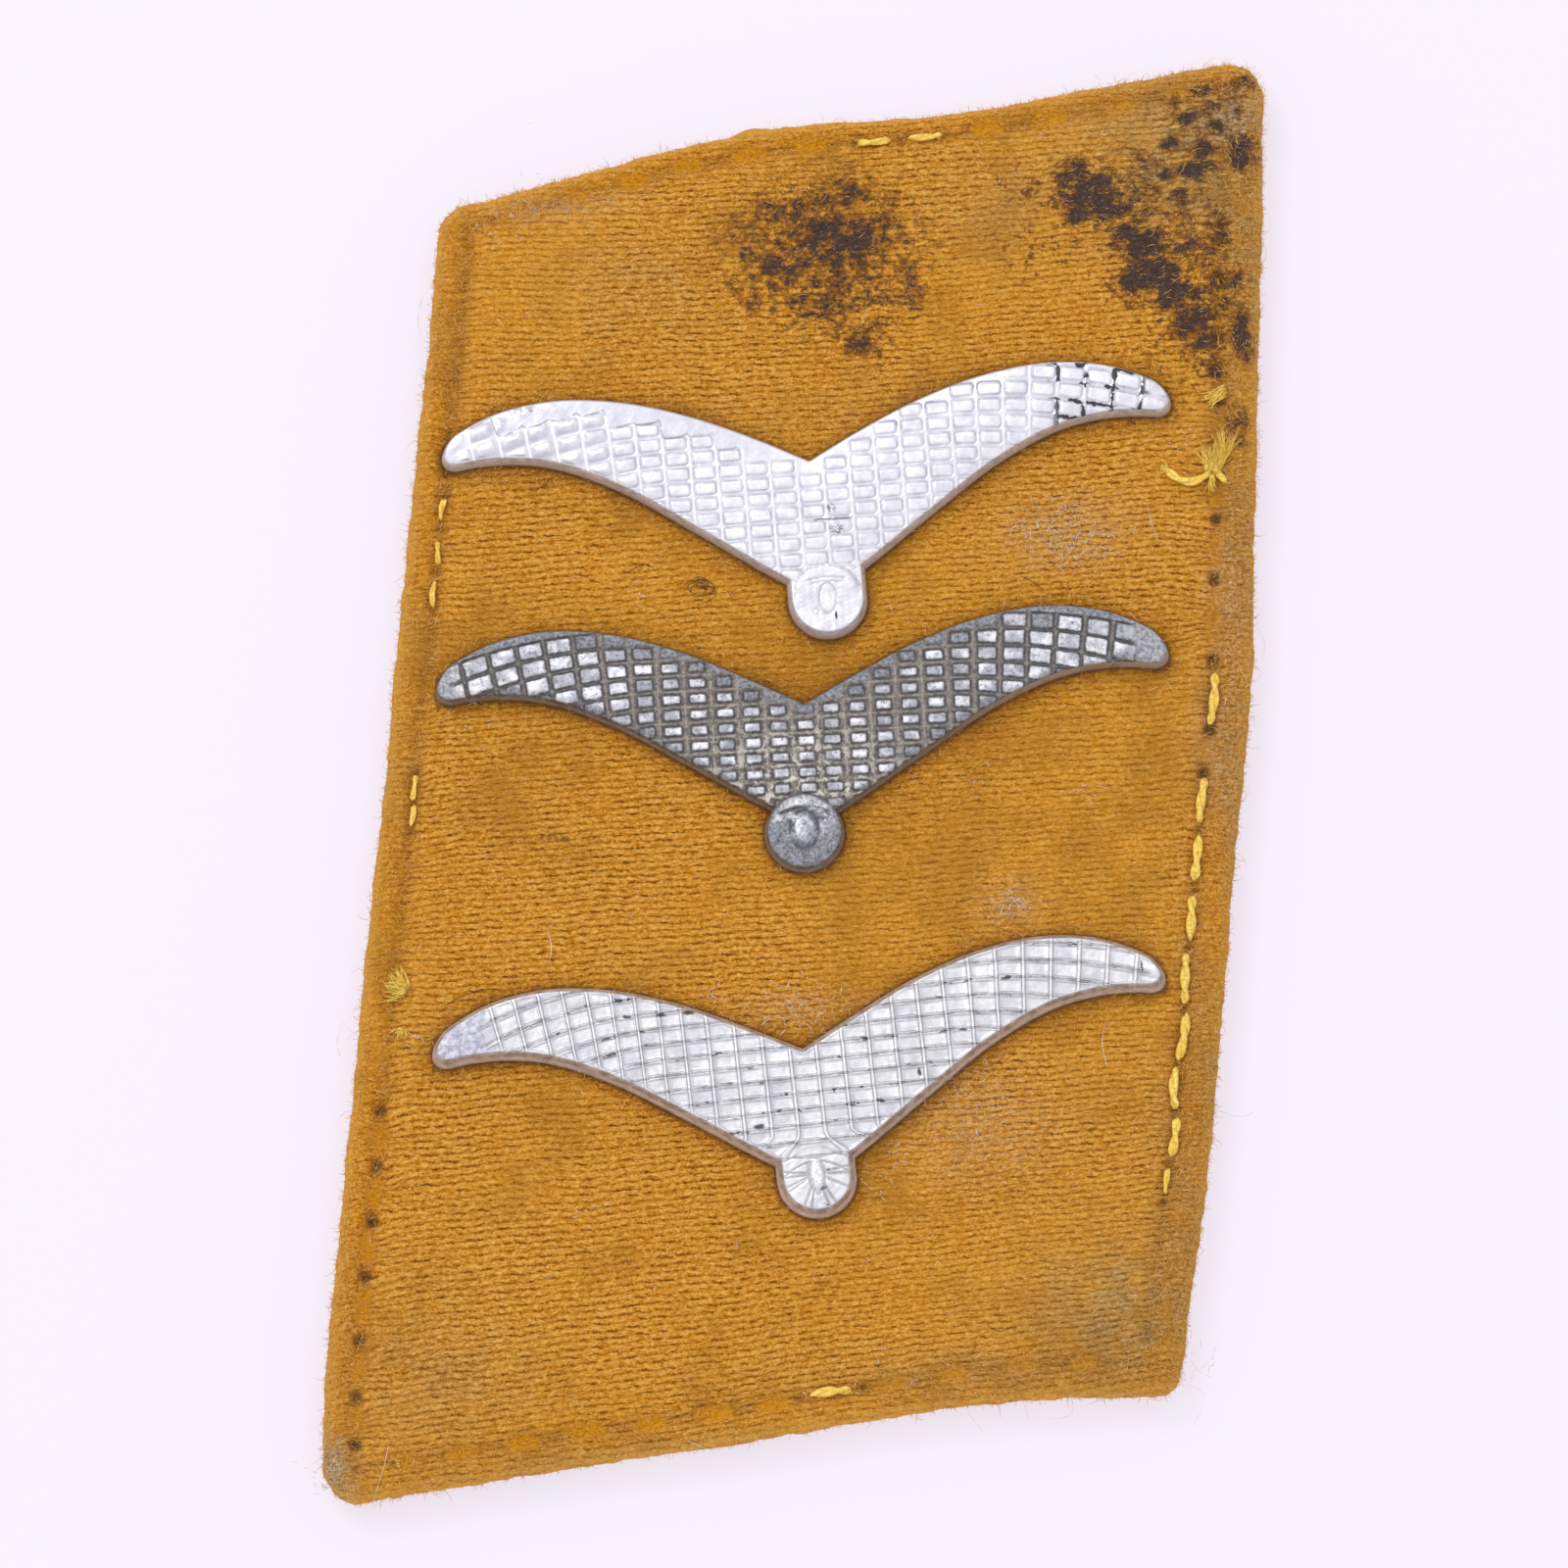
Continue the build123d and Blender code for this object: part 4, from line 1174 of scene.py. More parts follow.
# Middle gull: zinc gone dark, with the tops of its pads worn bright and dust in the wide grooves.
# Outwards the pads are larger and the grooves narrow, and the right tip is smooth.
gull, piece = GULLS[1], gull_pieces[1]
dark = Finish("dark_casting")
mm = dark.object_mm()
du, dv, chance = lattice_nodes(dark)
wing = 1.0 - dark["head"]
x_out, y_up = dark["out_x"], dark["up_y"]
grow = abs(x_out).step(4.0, 11.0)
ragged = dark.noise(mm, 3.2, 3.0, 0.6)
half_u = grow * MIDDLE_GROWTH[0] + chance * 0.07 + MIDDLE_PAD[0] - 0.035
half_v = grow * MIDDLE_GROWTH[1] - chance * 0.04 + MIDDLE_PAD[1] + 0.02
d = box_nodes(dark, du, dv, half_u, half_v, MIDDLE_PAD[2]) + ragged * 0.14 - 0.07
cast = dark["cell_top"].step(0.2, 0.4) * wing * x_out.step(14.4, 13.9) * x_out.step(-15.2, -14.4)
speck = dark.noise(mm, 6.0, 5.0, 0.78)
cloudy = dark.noise(mm, 1.2, 3.0, 0.6)
deep_in = smaller(dark["cell_top"].step(0.45, 1.15), dark["from_foot"].step(0.15, 0.75))
outer = larger(x_out.step(-8.5, -11.5), x_out.step(7.5, 10.5) * 0.8)
worn = chance * 0.9 + deep_in + outer * 0.45 - 0.5
worn = worn.step(0.15, 0.85) * d.step(0.02, -0.06) * speck.step(0.36, 0.5, 0.25, 1.0) * cast
rim_colour = dark.mix(speck.step(0.35, 0.65), (0.105, 0.11, 0.125), (0.34, 0.35, 0.385))
frosted = wing * larger(x_out.step(13.5, 14.3), x_out.step(-13.8, -14.8))
rim_colour = rim_colour.mix(frosted, dark.mix(speck.step(0.35, 0.62), (0.16, 0.165, 0.18),
                                              (0.46, 0.47, 0.51)))
groove = dark.mix(speck.step(0.35, 0.65), (0.085, 0.076, 0.072), (0.27, 0.245, 0.225))
thread = larger((abs(du) - COLUMN_PITCH / 2).bell(0.055), (abs(dv) - ROW_PITCH / 2).bell(0.045))
thread = thread * (1.0 - grow * 0.85)
groove = groove.mix(thread * ragged.step(0.4, 0.6, 0.1, 0.7), (0.42, 0.37, 0.32))
centre = (speck * 5.0 + dark["from_head"]).step(9.4, 4.8)
groove = groove.mix(centre * dark.noise(mm, 3.0, 4.0, 0.7).step(0.47, 0.6), (0.62, 0.59, 0.53))
colour = rim_colour.mix(d.step(-0.05, 0.03) * cast, groove)
outline = (d - 0.03).bell(0.05) * cast
colour = colour.mix(outline * ragged.step(0.3, 0.6, 0.5, 0.9), (0.055, 0.052, 0.055))
silver = dark.mix(cloudy.step(0.36, 0.64), (0.42, 0.43, 0.47), (0.86, 0.86, 0.9))
colour = colour.mix(worn, silver)
# A bright scratch on the left wing near the head: the part of a circle that lies in a round place.
BENT_SCRATCH = (747, 736)
scratch = round_spot(dark, x_out, y_up, on_gull(gull, BENT_SCRATCH), (0.45, 0.4))
scratch = scratch * (dark.far(x_out + 2.9, y_up + 2.1) - 0.72).bell(0.035)
colour = colour.mix(scratch, (0.8, 0.78, 0.72))
colour, wall = side_walls(dark, colour, 0.26,
                          ((0.095, 0.090, 0.090), (0.22, 0.205, 0.20), (0.36, 0.31, 0.28)))
lit_side = wall * x_out.step(5.0, 9.5) * y_up.step(1.0, 0.2)
colour = colour.mix(lit_side * 0.75, (0.5, 0.41, 0.34))
colour = colour.mix(dark["cut"] * 0.8, (0.06, 0.058, 0.064))
hx, hy = dark["head_x"], dark["head_y"]
oval = dark.far(hx / 0.46, (hy - 0.03) / 0.62)
boss = (ragged * 0.5 + oval).step(1.25, 1.0)
bow = hx * hx * 0.22 + hy - 0.98
brow = bow.step(0.02, 0.1) * abs(hx).step(1.15, 0.9)
cheek = dark.noise(mm, 1.7, 3.0).step(0.48, 0.58) * hy.step(-0.9, 0.3)
shine = larger(boss, brow, cheek * 0.65) * speck.step(0.38, 0.52, 0.25, 1.0)
chips = dark.noise(mm, 5.0, 2.0).step(0.66, 0.7) * hy.step(-0.6, -1.0)
shine = larger(shine, chips) * dark["head"]
colour = colour.mix(shine * dark["from_head"].step(1.5, 1.35), silver)
dark.put_named(dark.shader, {"Metallic": larger(worn, shine) * 0.55 + 0.35})
dark.cover(piece, colour, speck.step(0.3, 0.7, 0.58, 0.38), speck * 0.8 - outline * 0.6, 0.04)

# Lower gull: bright aluminium, raised lines between flat cells. Its sides are tan, its left tip is
# frosted, and a few spots of dark dirt are left in the rows.
gull, piece = GULLS[2], gull_pieces[2]
ribbed = Finish("ribbed_casting")
mm = ribbed.object_mm()
du, dv, chance = lattice_nodes(ribbed)
wing = 1.0 - ribbed["head"]
x_out, y_up = ribbed["out_x"], ribbed["up_y"]
cast = wing * x_out.step(-13.9, -13.1) * x_out.step(15.2, 14.6)
across_line = abs(du) - COLUMN_PITCH / 2
along_line = abs(dv) - ROW_PITCH / 2
ridge_highlight = across_line.bell(0.036) * cast
ridge_side_dip_and_shade = (across_line + 0.095).bell(0.03) * cast
channel = (along_line + 0.035).bell(0.022) * cast
under = (along_line + 0.12).bell(0.022) * cast
grain = ribbed.noise(mm, 9.0, 4.0, 0.68)
cloudy = ribbed.noise(mm, 1.4, 4.0, 0.65)
colour = ribbed.mix(cloudy.step(0.3, 0.7), (0.6, 0.6, 0.64), (0.84, 0.84, 0.88))
colour = colour.mix(chance * chance * 0.3, (0.5, 0.5, 0.56))
# Painted shade in a band on each side of a ridge.
colour = colour.mix(ridge_side_dip_and_shade * 0.45, (0.34, 0.33, 0.36))
colour = colour.mix(under * 0.42, (0.4, 0.36, 0.33))
run = ribbed.noise(ribbed.spot(x_out * 0.9, y_up * 2.2), 1.7, 3.0, 0.7)
colour = colour.mix(channel * run.step(0.42, 0.62, 0.15, 0.85), (0.12, 0.1, 0.09))
specks = ribbed.noise(ribbed.spot(x_out * 1.1, y_up * 2.0), 1.3, 2.0, 0.6).step(0.62, 0.66)
colour = colour.mix(specks * (along_line + 0.035).bell(0.07), (0.1, 0.085, 0.085))
# Painted highlight along each ridge.
colour = colour.mix(ridge_highlight * 0.75, (0.9, 0.9, 0.93))
frost = wing * (cloudy * 2.2 + x_out).step(-11.6, -12.5)
frost_colour = ribbed.mix(ribbed.noise(mm, 4.0, 4.0, 0.72).step(0.38, 0.62), (0.32, 0.33, 0.42),
                          (0.66, 0.66, 0.74))
colour = colour.mix(frost * 0.9, frost_colour)
ragged = ribbed.noise(mm, 5.0, 2.0) * 0.12
# Spots of dark dirt: where each lies in the photograph's pixels, and its radii in millimetres.
SPOTS = (((679, 1026), (0.42, 0.13)), ((706, 1037), (0.42, 0.14)), ((677, 1040), (0.30, 0.12)),
         ((776, 1152), (0.34, 0.17)), ((938, 1097), (0.11, 0.26)), ((1163, 991), (0.06, 0.34)))
soil = larger(*[round_spot(ribbed, x_out + ragged, y_up + ragged, on_gull(gull, at), radii)
                for at, radii in SPOTS])
colour = colour.mix(soil, (0.075, 0.06, 0.06))
colour = colour.mix(ribbed["cut"] * 0.62, (0.3, 0.27, 0.26))
hx, hy = ribbed["head_x"], ribbed["head_y"]
oval = ribbed.far(hx / 0.3, (hy - 0.06) / 0.66)
boss = oval.step(1.05, 0.9) * ribbed["head"]
colour = colour.mix(boss, ribbed.mix(grain.step(0.38, 0.6), (0.62, 0.61, 0.62), (0.95, 0.95, 0.96)))
colour, wall = side_walls(ribbed, colour, 0.04,
                          ((0.25, 0.185, 0.145), (0.46, 0.37, 0.31), (0.70, 0.59, 0.52)))
dull = larger(wall, soil, frost * 0.55)
height = grain * 0.35 + cloudy - channel * 0.9 - ridge_side_dip_and_shade * 0.5
ribbed.put_named(ribbed.shader, {"Metallic": 0.9 - dull * 0.8})
ribbed.cover(piece, colour, cloudy.step(0.3, 0.7, 0.5, 0.35), height, 0.026)

# The sewing thread: two-ply yellow cotton. Each stitch that shows is a short length of it, which
# comes up out of one needle hole and goes down into the next. Near the top of the right seam it is
# knotted and frayed.
PLY_RADIUS = 0.125
THREAD_TURN = 2.1
THREAD_POINTS = 30
THREAD_SIDES = 8
THREAD_TAPER = 4

surface = BVHTree.FromPolygons(np.column_stack([x, y, z]).tolist(),
                               [tuple(p.vertices) for p in cloth.data.polygons])


def face_height(px, py):
    """How high the cloth's face is under a point."""
    hit = surface.ray_cast(Vector((px, py, 10.0)), Vector((0, 0, -1)))[0]
    return hit.z if hit else TAB_THICK / 2


def resample(line, count):
    """A line with its points evenly spaced, and how far along it each one lies."""
    line = np.asarray(line, float)
    run = np.concatenate([[0], np.cumsum(np.linalg.norm(np.diff(line, axis=0), axis=1))])
    at = np.linspace(0, run[-1], count)
    return np.stack([np.interp(at, run, line[:, k]) for k in range(3)], 1), at


def beside_line(line, axis):
    """Two directions square to a line, at each of its points."""
    ahead = unit(np.gradient(line, axis=axis))
    side = unit(np.cross(ahead, (0.13, 0.07, 1.0)))
    return side, np.cross(side, ahead)


def tubes(paths, thick, sides):
    """Closed tubes round many lines of points: their points and three-sided faces."""
    count, steps = paths.shape[:2]
    thick = np.broadcast_to(thick, (count, steps))
    side, up = beside_line(paths, 1)
    rings = [paths + (side * cos(turn) + up * sin(turn)) * thick[..., None]
             for turn in np.arange(sides) / sides * 2 * pi]
    body = np.stack(rings, 2)[:, 1:-1].reshape(count, -1, 3)
    points = np.concatenate([paths[:, :1], body, paths[:, -1:]], 1)
    each, last, faces = points.shape[1], 1 + sides * (steps - 3), []
    for k in range(sides):
        n = (k + 1) % sides
        faces.append((0, 1 + k, 1 + n))
        faces.append((last + n, last + k, each - 1))
        for s in range(steps - 3):
            a, b = 1 + sides * s + k, 1 + sides * s + n
            faces += [(a, a + sides, b + sides), (a, b + sides, b)]
    faces = np.arange(count)[:, None, None] * each + np.array(faces)[None]
    return points.reshape(-1, 3), faces.reshape(-1, 3)


def stack(name, parts):
    """One mesh from many small ones, given as points and faces."""
    points, faces, start = [], [], 0
    for p, f in parts:
        points.append(p)
        faces.append(f + start)
        start += len(p)
    return make_piece(name, np.concatenate(points), np.concatenate(faces).tolist())


def thread(line, ply, start):
    """Two plies twisted round a line of points."""
    line, at = resample(line, THREAD_POINTS)
    side, up = beside_line(line, 0)
    turn = (at / THREAD_TURN * 2 * pi + start)[:, None]
    steps = np.arange(THREAD_POINTS)
    ends = np.clip(np.minimum(steps, steps[::-1]) / THREAD_TAPER, 0.30, 1) ** 0.7
    plies = [line + (side * np.cos(turn + half) + up * np.sin(turn + half)) * ply * 0.72 * ends[:, None]
             for half in (0, pi)]
    return tubes(np.stack(plies), ply * ends * (1 + 0.08 * np.sin(at * 5 + start)), THREAD_SIDES)


def wisps(starts, ahead, long, bend, seed, steps=5):
    """Fine loose fibres: each starts at a point, runs ahead and bends away at random."""
    r = np.random.default_rng(seed)
    count = len(starts)
    ahead = unit(ahead)
    sway = unit(np.cross(ahead, r.normal(size=(count, 3))))
    curl = unit(np.cross(ahead, sway))
    t = np.linspace(0, 1, steps)[None, :, None]
    long = np.reshape(long, (-1, 1, 1))
    bend = np.reshape(bend, (-1, 1, 1)) * r.uniform(0.3, 1, (count, 1, 1))
    return (starts[:, None] + ahead[:, None] * t * long + sway[:, None] * t ** 2 * long * bend
            + curl[:, None] * np.sin(t * 4) * long * bend * 0.35)


r = np.random.default_rng(77)
parts = []
for k, stitch in enumerate(stitches):
    a, b = stitch["from"], stitch["to"]
    along = unit(b - a)
    t = np.linspace(0, 1, 13)
    if stitch["kind"] == "bright":
        ply = PLY_RADIUS * np.clip(np.linalg.norm(b - a) / 1.6, 0.62, 1)
        a, b = a - along * 0.10, b + along * 0.10
        lift = 0.20 * np.sin(pi * t) ** 0.55 - 0.20
        bow = np.sin(pi * t) * r.normal() * 0.05
        parts.append(thread([(*(a + (b - a) * s + np.array([-along[1], along[0]]) * w), TAB_THICK - 0.01 + h)
                             for s, h, w in zip(t, lift, bow)], ply=ply, start=k * 1.3))


def laid(spots_px, rise):
    """A line on the cloth through places of the photograph, softened."""
    line = soften([from_photo(*p) for p in spots_px])
    lifts = np.interp(np.linspace(0, 1, len(line)), np.linspace(0, 1, len(rise)), rise)
    return [(px, py, face_height(px, py) + lift) for (px, py), lift in zip(line, lifts)]


# The knot's loose end and the short end over it, in the photograph's pixels and millimetres of rise.
LOOSE_END = [(1236, 487), (1227, 493), (1214, 499), (1200, 494), (1188, 483)]
SHORT_END = [(1252, 497), (1244, 488), (1236, 484)]
parts.append(thread(laid(LOOSE_END, (0.10, 0.20, 0.16, 0.13, 0.16)), ply=0.115, start=0.4))
parts.append(thread(laid(SHORT_END, (0.0, 0.12, 0.18)), ply=0.10, start=1.9))


def brush(root, way, spread, width, count, long, seed, thick=0.028):
    """An unravelled end of thread: fibres that fan out from a place, in photo pixels and degrees."""
    r = np.random.default_rng(seed)
    way = np.radians(way)
    at = from_photo(*root) + np.outer(r.uniform(-1, 1, count) * width, (-sin(way), cos(way)))
    at = at + r.normal(size=(count, 2)) * 0.03
    turn = way + np.radians(r.uniform(-1, 1, count) * spread)
    base = np.column_stack([at, [face_height(*p) + h for p, h in zip(at, r.uniform(0.0, 0.22, count))]])
    ahead = np.stack([np.cos(turn), np.sin(turn), r.uniform(-0.05, 0.30, count)], 1)
    paths = wisps(base, ahead, long * r.uniform(0.45, 1.1, count), 0.35, seed)
    return tubes(paths, thick * np.array([0.9, 1, 1, 0.9, 0.5]), 4)


# Each unravelled end: its root, the way it points, its spread in degrees, its width, how many
# fibres it has, how long they are, its seed and, where it isn't the usual, their thickness.
FRAYED = (
    ((1236, 490), 80, 26, 0.20, 190, 1.25, 401, 0.022),
    ((1241, 484), 66, 14, 0.14, 90, 1.80, 402, 0.022),
    ((1236, 487), 264, 9, 0.08, 34, 0.95, 403, 0.024),
    ((1190, 486), 130, 60, 0.06, 30, 0.35, 404),
    ((1253, 401), 203, 14, 0.13, 60, 1.25, 405),
    ((418, 1016), 140, 40, 0.28, 95, 1.10, 406, 0.030),
    ((413, 1051), 250, 60, 0.14, 30, 0.5, 407, 0.020),
    ((413, 1485), 200, 90, 0.12, 16, 0.4, 408, 0.020),
)
for row in FRAYED:
    parts.append(brush(*row))
sewing = stack("sewing_thread", parts)
cotton = Finish("yellow_thread")
mm = cotton.object_mm()
lint_grain = cotton.noise(mm, 7.0, 3.0, 0.65, 0.8)
tone = cotton.noise(mm, 0.9, 3.0, 0.6)
colour = cotton.mix(lint_grain.step(0.34, 0.66), (0.74, 0.44, 0.02), (1.0, 0.78, 0.2))
colour = colour.mix(tone.step(0.45, 0.65, 0.0, 0.4), (0.84, 0.5, 0.04))
cotton.cover(sewing, colour, lint_grain.step(0.3, 0.7, 0.75, 0.5), lint_grain, 0.045)
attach(sewing, "root")

# Loose wool fibres: the fuzz of the cut and folded rim, the nap that stands off the weave, and the
# felted ring round each gull.
FUZZ_RIM = 10500
FUZZ_FACE = 5200
FUZZ_MARGIN = 2600
FUZZ_GULLS = 1500
FIBRE_SHAPE = np.array([0.7, 1.0, 0.8, 0.3])

r = np.random.default_rng(2026)
edge_run, inner_run = around(*ring(0)), around(*ring(1.0))
out = unit(edge_run - inner_run)
ahead_run = unit(np.roll(edge_run, -1, 0) - edge_run)
pick = r.integers(0, len(edge_run), FUZZ_RIM)
slope = np.radians(r.uniform(-25, 105, FUZZ_RIM))
inset = ROLL * (1 - np.sin(np.clip(slope, 0, None))) + np.clip(-slope, 0, None) * 1.2
base = (edge_run[pick] + ahead_run[pick] * r.uniform(0, 0.22, (FUZZ_RIM, 1))
        + out[pick] * (wobble[pick] - inset - 0.03)[:, None])
height = TAB_THICK - ROLL * (1 - np.cos(np.clip(slope, 0, None))) - 0.04
normal = np.column_stack([out[pick] * np.sin(slope)[:, None], np.cos(slope)])
sway = ahead_run[pick] * r.normal(size=(FUZZ_RIM, 1)) * 0.9
ahead = normal + np.column_stack([sway, r.normal(size=FUZZ_RIM) * 0.35])
long = 0.12 + r.exponential(0.085, FUZZ_RIM)
long = np.where(r.random(FUZZ_RIM) < 0.006, long + 0.5, long)
rim_fuzz = wisps(np.column_stack([base, height]), ahead, np.minimum(long, 1.3), 0.8, 12, 4)

# For each kind: how many fibres, where they stand, how their ways spread, their rise, their seed.
fuzz = []
inner_face = np.arange(flat.shape[0] * flat.shape[1]).reshape(flat.shape[:2])[2:-2, 2:-2].ravel()
for count, wanted, turn_spread, rise, seed in (
        (FUZZ_FACE, from_rim[inner_face] > 1.3, 0.35, 0.10, 21),
        (FUZZ_MARGIN, from_rim[inner_face] < 1.9, 1.2, 0.22, 22),
        (FUZZ_GULLS, beside[inner_face] < 0.75, 2.0, 0.30, 23)):
    r = np.random.default_rng(seed)
    open_face = wanted & ~under_gull(x[inner_face], y[inner_face], 0.05)
    pick = r.choice(inner_face[open_face], count)
    base = np.column_stack([x[pick], y[pick], z[pick] - 0.01])
    base[:, :2] += r.uniform(-0.1, 0.1, (count, 2))
    turn = r.normal(size=count) * turn_spread + np.where(r.random(count) < 0.5, 0, pi)
    ahead = np.stack([np.cos(turn), np.sin(turn), rise * r.uniform(0.2, 1.4, count)], 1)
    fuzz.append(wisps(base, ahead, 0.18 + r.exponential(0.20, count).clip(0, 0.9), 0.5, seed, 4))
fuzz = np.concatenate(fuzz)
fuzz_pieces = [stack("rim_fuzz", [tubes(rim_fuzz, 0.0125 * FIBRE_SHAPE, 3)]),
               stack("wool_nap", [tubes(fuzz, 0.0145 * FIBRE_SHAPE, 3)])]
fluff = Finish("loose_wool")
mm = fluff.object_mm()
tone = fluff.noise(mm, 1.6, 3.0, 0.7)
colour = fluff.mix(tone.step(0.35, 0.65), (0.62, 0.28, 0.02), (0.95, 0.56, 0.14))
colour = colour.mix(fluff.noise(mm, 4.0, 2.0).step(0.55, 0.65, 0.0, 0.6), (0.86, 0.72, 0.5))
for piece in fuzz_pieces:
    fluff.cover(piece, colour, tone.step(0.3, 0.7, 0.9, 0.7), tone, 0.01)
    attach(piece, "root")

# Lint and hairs caught on the cloth: pale curled fibres in small clumps, long pale hairs, and a
# dark tangle between the upper two gulls.

# Each clump of lint: its place in the photograph's pixels, how many fibres, its spread in millimetres.
CLUMPS = [((1090, 545), 80, 1.0), ((1030, 925), 34, 0.32), ((1100, 575), 40, 0.8), ((1060, 545), 24, 0.6),
          ((815, 1030), 60, 0.7), ((725, 1015), 12, 0.4), ((1210, 455), 14, 0.35), ((480, 735), 16, 0.6),
          ((560, 215), 20, 1.2), ((500, 235), 16, 0.8), ((990, 800), 12, 0.5), ((940, 780), 14, 0.6),
          ((1000, 1130), 24, 1.0), ((985, 1110), 14, 0.5), ((890, 1205), 16, 0.35), ((912, 1175), 12, 0.3),
          ((655, 605), 8, 0.3), ((1050, 540), 16, 0.6), ((1110, 815), 10, 0.5), ((600, 1235), 8, 0.4),
          ((430, 1065), 14, 0.4), ((1245, 700), 14, 0.5), ((335, 1500), 14, 0.5), ((1215, 1380), 14, 0.6),
          ((700, 1300), 10, 1.6), ((900, 640), 8, 1.4), ((620, 900), 8, 1.8), ((850, 1350), 12, 2.4)]
lint = []
r = np.random.default_rng(88)
for place, count, spread in CLUMPS:
    at = from_photo(*place) + r.normal(size=(count, 2)) * spread
    at = at[~under_gull(at[:, 0], at[:, 1], 0.1)]
    count = len(at)
    base = np.column_stack([at, [face_height(*p) + 0.02 for p in at]])
    turn = r.uniform(0, 2 * pi, count)
    ahead = np.stack([np.cos(turn), np.sin(turn), r.uniform(0.0, 0.35, count)], 1)
    lint.append(wisps(base, ahead, r.uniform(0.10, 0.34, count), 1.6, int(place[0]), 6))
pale_parts = [tubes(np.concatenate(lint), 0.015, 3)]
# Long pale fibres, in the photograph's pixels.
LOOSE_FIBRES = [
    [(403, 1465), (398, 1490), (392, 1508), (385, 1527)],
    [(1127, 1042), (1121, 1060), (1123, 1078), (1127, 1092)], [(1170, 520), (1176, 545), (1183, 560)],
    [(560, 950), (566, 972), (560, 990)], [(735, 1160), (752, 1150), (770, 1158)],
    [(1210, 1380), (1218, 1392), (1232, 1398)], [(1240, 1130), (1262, 1138), (1278, 1131)],
    [(430, 300), (424, 322), (428, 345)], [(1088, 1412), (1094, 1434), (1075, 1440), (1066, 1438)],
    [(1205, 1405), (1224, 1410), (1222, 1428), (1212, 1446)], [(985, 1432), (1000, 1452)],
    [(700, 1462), (722, 1470), (740, 1468)], [(1120, 92), (1126, 78), (1118, 70)],
    [(352, 1040), (346, 1060), (350, 1076)], [(1283, 640), (1291, 655), (1288, 672)],
]
for line in LOOSE_FIBRES:
    path, _ = resample(laid(line, (0.03, 0.10, 0.10, 0.04)), 12)
    pale_parts.append(tubes(path[None], 0.011, 4))
lint_piece = stack("lint", pale_parts)
pale = Finish("pale_lint")
mm = pale.object_mm()
tone = pale.noise(mm, 2.0, 3.0, 0.7)
colour = pale.mix(tone.step(0.35, 0.65), (0.7, 0.52, 0.38), (0.95, 0.9, 0.84))
pale.cover(lint_piece, colour, tone.step(0.3, 0.7, 0.85, 0.6), tone, 0.01)
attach(lint_piece, "root")

# The dark tangle's middle and a few single dark hairs, in the photograph's pixels.
TANGLE = (713, 606)
r = np.random.default_rng(31)
tangle = []
middle = from_photo(*TANGLE)
for k in range(9):
    begin, sweep = r.uniform(0, 2 * pi), r.uniform(2.0, 4.6)
    turn = begin + np.linspace(0, sweep, 12)
    radius = r.uniform(0.10, 0.55) * (1 + 0.15 * np.sin(turn * 2 + k))
    centre = middle + r.normal(size=2) * (0.10, 0.14)
    loop = centre + np.stack([np.cos(turn) * radius * 1.25, np.sin(turn) * radius], 1)
    tangle.append([(px, py, face_height(px, py) + 0.02 + 0.012 * k) for px, py in loop])

LOOSE_HAIRS = [
    [(455, 1030), (470, 1020), (485, 1014), (500, 1011), (516, 1012)],
    [(1040, 592), (1052, 598), (1064, 606)], [(640, 590), (655, 580), (668, 584)],
    [(1005, 1350), (1018, 1356), (1030, 1350)],
]
for line in LOOSE_HAIRS:
    tangle.append(resample(laid(line, (0.03, 0.08, 0.03)), 12)[0])
hair_piece = stack("dark_hairs", [tubes(np.array(tangle), 0.0145, 4)])
hair = Finish("dark_hair")
tone = hair.noise(hair.object_mm(), 3.0, 2.0)
colour = hair.mix(tone, (0.022, 0.009, 0.005), (0.075, 0.030, 0.012))
hair.cover(hair_piece, colour, tone.step(0.3, 0.7, 0.6, 0.4), tone, 0.01)
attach(hair_piece, "root")

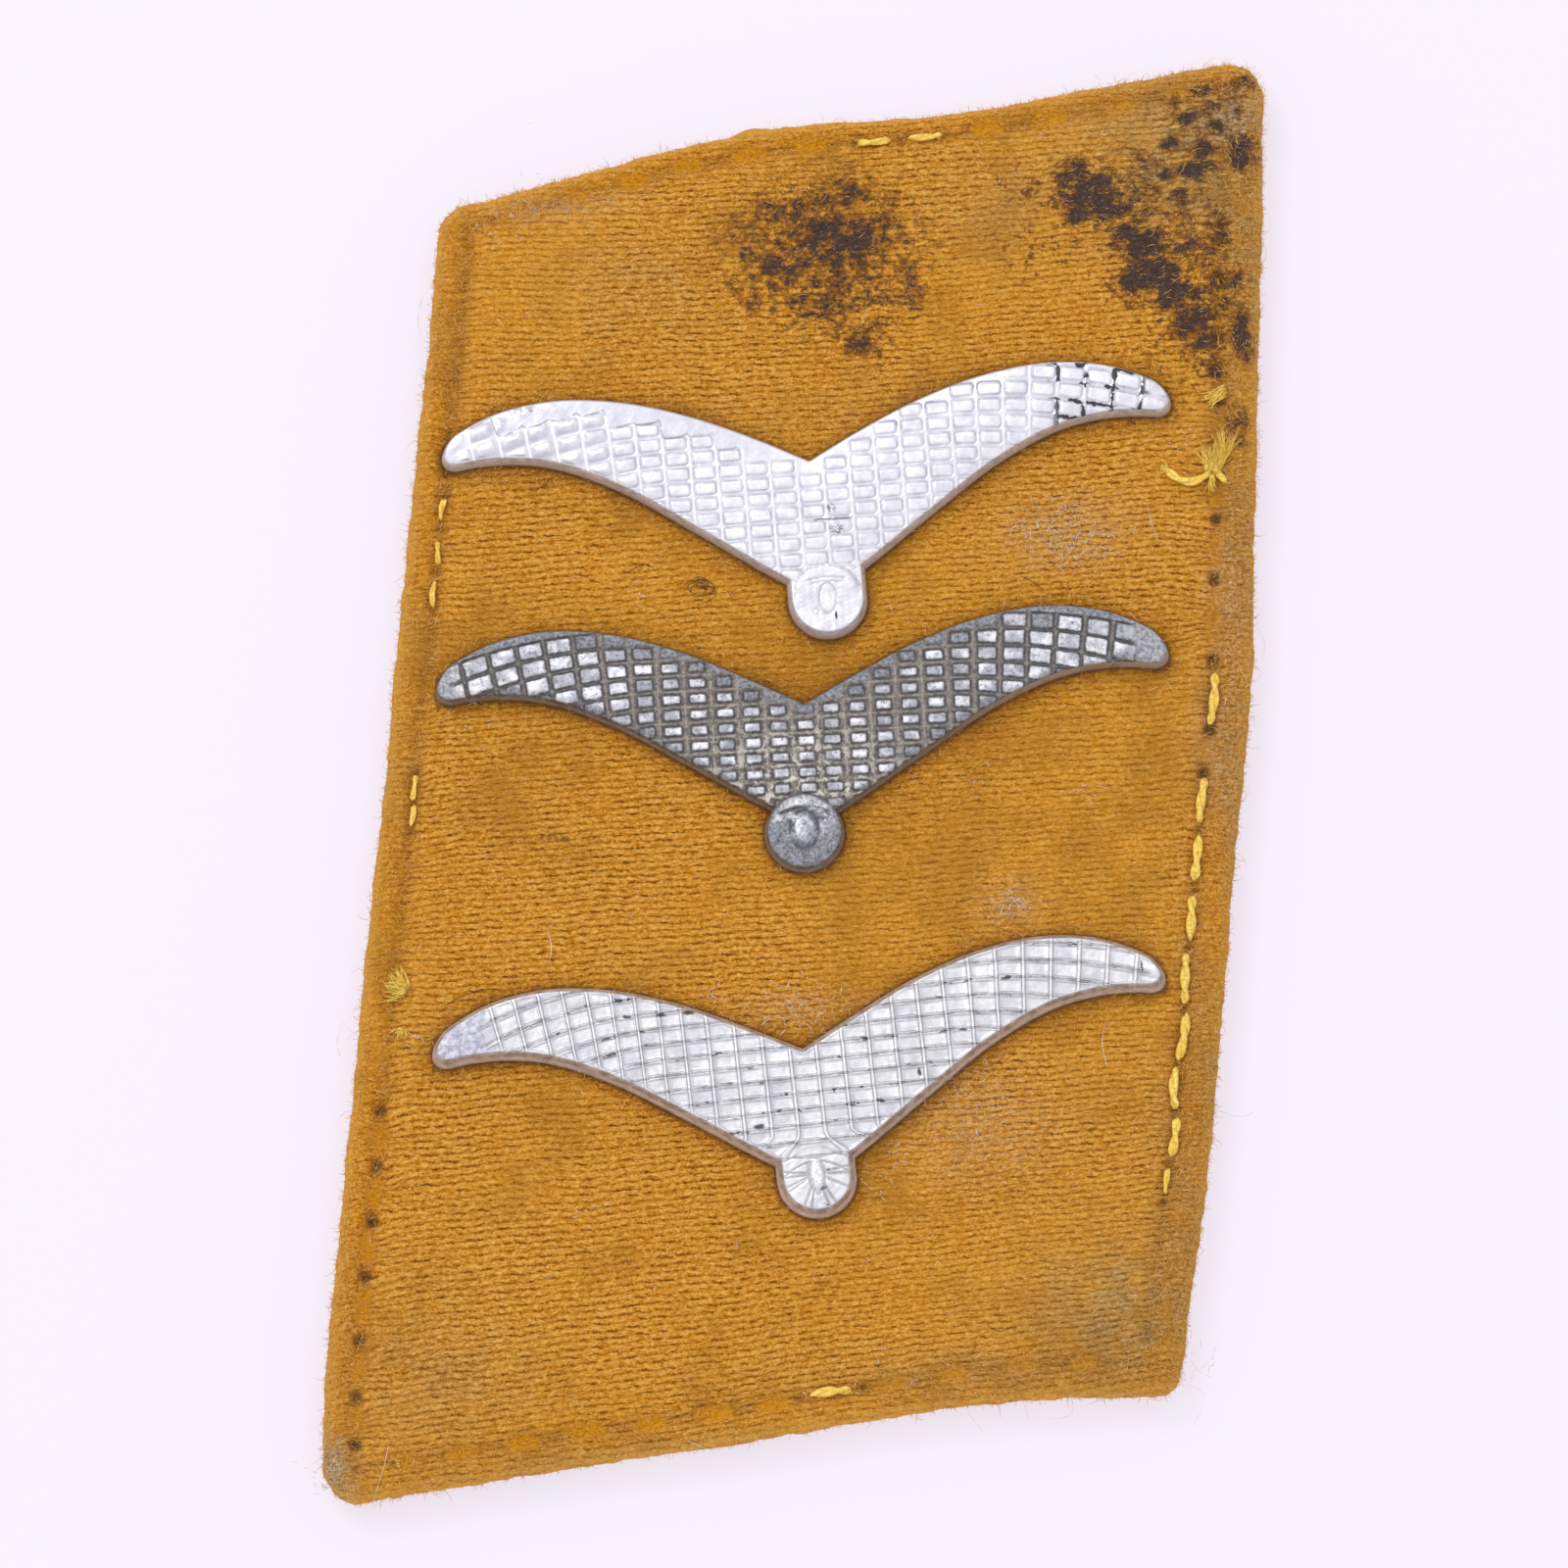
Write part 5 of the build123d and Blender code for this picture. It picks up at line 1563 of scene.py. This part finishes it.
# The floor, soft light all round and from above, and the camera above the tab's lower edge.
bpy.ops.mesh.primitive_plane_add(size=3, location=(0, 0, 0))
floor = bpy.context.object
floor.name = "floor"
paper = Finish("pale_paper")
paper.put_named(paper.shader, {"Base Color": (0.27, 0.255, 0.28), "Emission Color": (0.94, 0.885, 1.0),
                               "Emission Strength": 0.68, "Roughness": 0.9})
floor.data.materials.append(paper.material)

LIGHT_LOW, LIGHT_HIGH = 0.75, 1.10
world = bpy.data.worlds.new("studio")
bpy.context.scene.world = world
world.use_nodes = True
nodes, links = world.node_tree.nodes, world.node_tree.links
where = nodes.new("ShaderNodeTexCoord")
apart = nodes.new("ShaderNodeSeparateXYZ")
links.new(where.outputs["Generated"], apart.inputs[0])
rise = nodes.new("ShaderNodeMapRange")
for socket, value in zip(list(rise.inputs)[1:5], (0.0, 1.0, LIGHT_LOW, LIGHT_HIGH)):
    socket.default_value = value
links.new(apart.outputs[2], rise.inputs[0])
links.new(rise.outputs[0], nodes["Background"].inputs["Strength"])
nodes["Background"].inputs["Color"].default_value = (0.98, 0.97, 1.0, 1)


def set_up(name, data, at, ahead):
    """A lamp or a camera at a place in metres, facing ahead."""
    thing = bpy.data.objects.new(name, data)
    thing.location = at
    thing.rotation_mode = "QUATERNION"
    thing.rotation_quaternion = Vector(ahead).to_track_quat("-Z", "Y")
    bpy.context.scene.collection.objects.link(thing)
    return thing


LAMP_AT = Vector((-0.22, 0.30, 0.45))
lamp = bpy.data.lights.new("softbox", "AREA")
lamp.shape = "DISK"
lamp.size = 0.25
lamp.energy = 0.8
set_up("softbox", lamp, LAMP_AT, -LAMP_AT)

CAMERA_TURN, CAMERA_RISE, CAMERA_AWAY = radians(-4.35), radians(80), 500.0
AIM_UP = 1.2
back = np.array([sin(CAMERA_TURN) * cos(CAMERA_RISE), -cos(CAMERA_TURN) * cos(CAMERA_RISE),
                 sin(CAMERA_RISE)])
view = bpy.data.cameras.new("camera")
view.sensor_width = 36
view.lens = 270
view.clip_start, view.clip_end = 0.01, 10
camera = set_up("camera", view, (np.array([*PHOTO_AIM, AIM_UP]) + back * CAMERA_AWAY) * MM, -back)
bpy.context.scene.camera = camera
bpy.context.scene.view_settings.view_transform = "Standard"
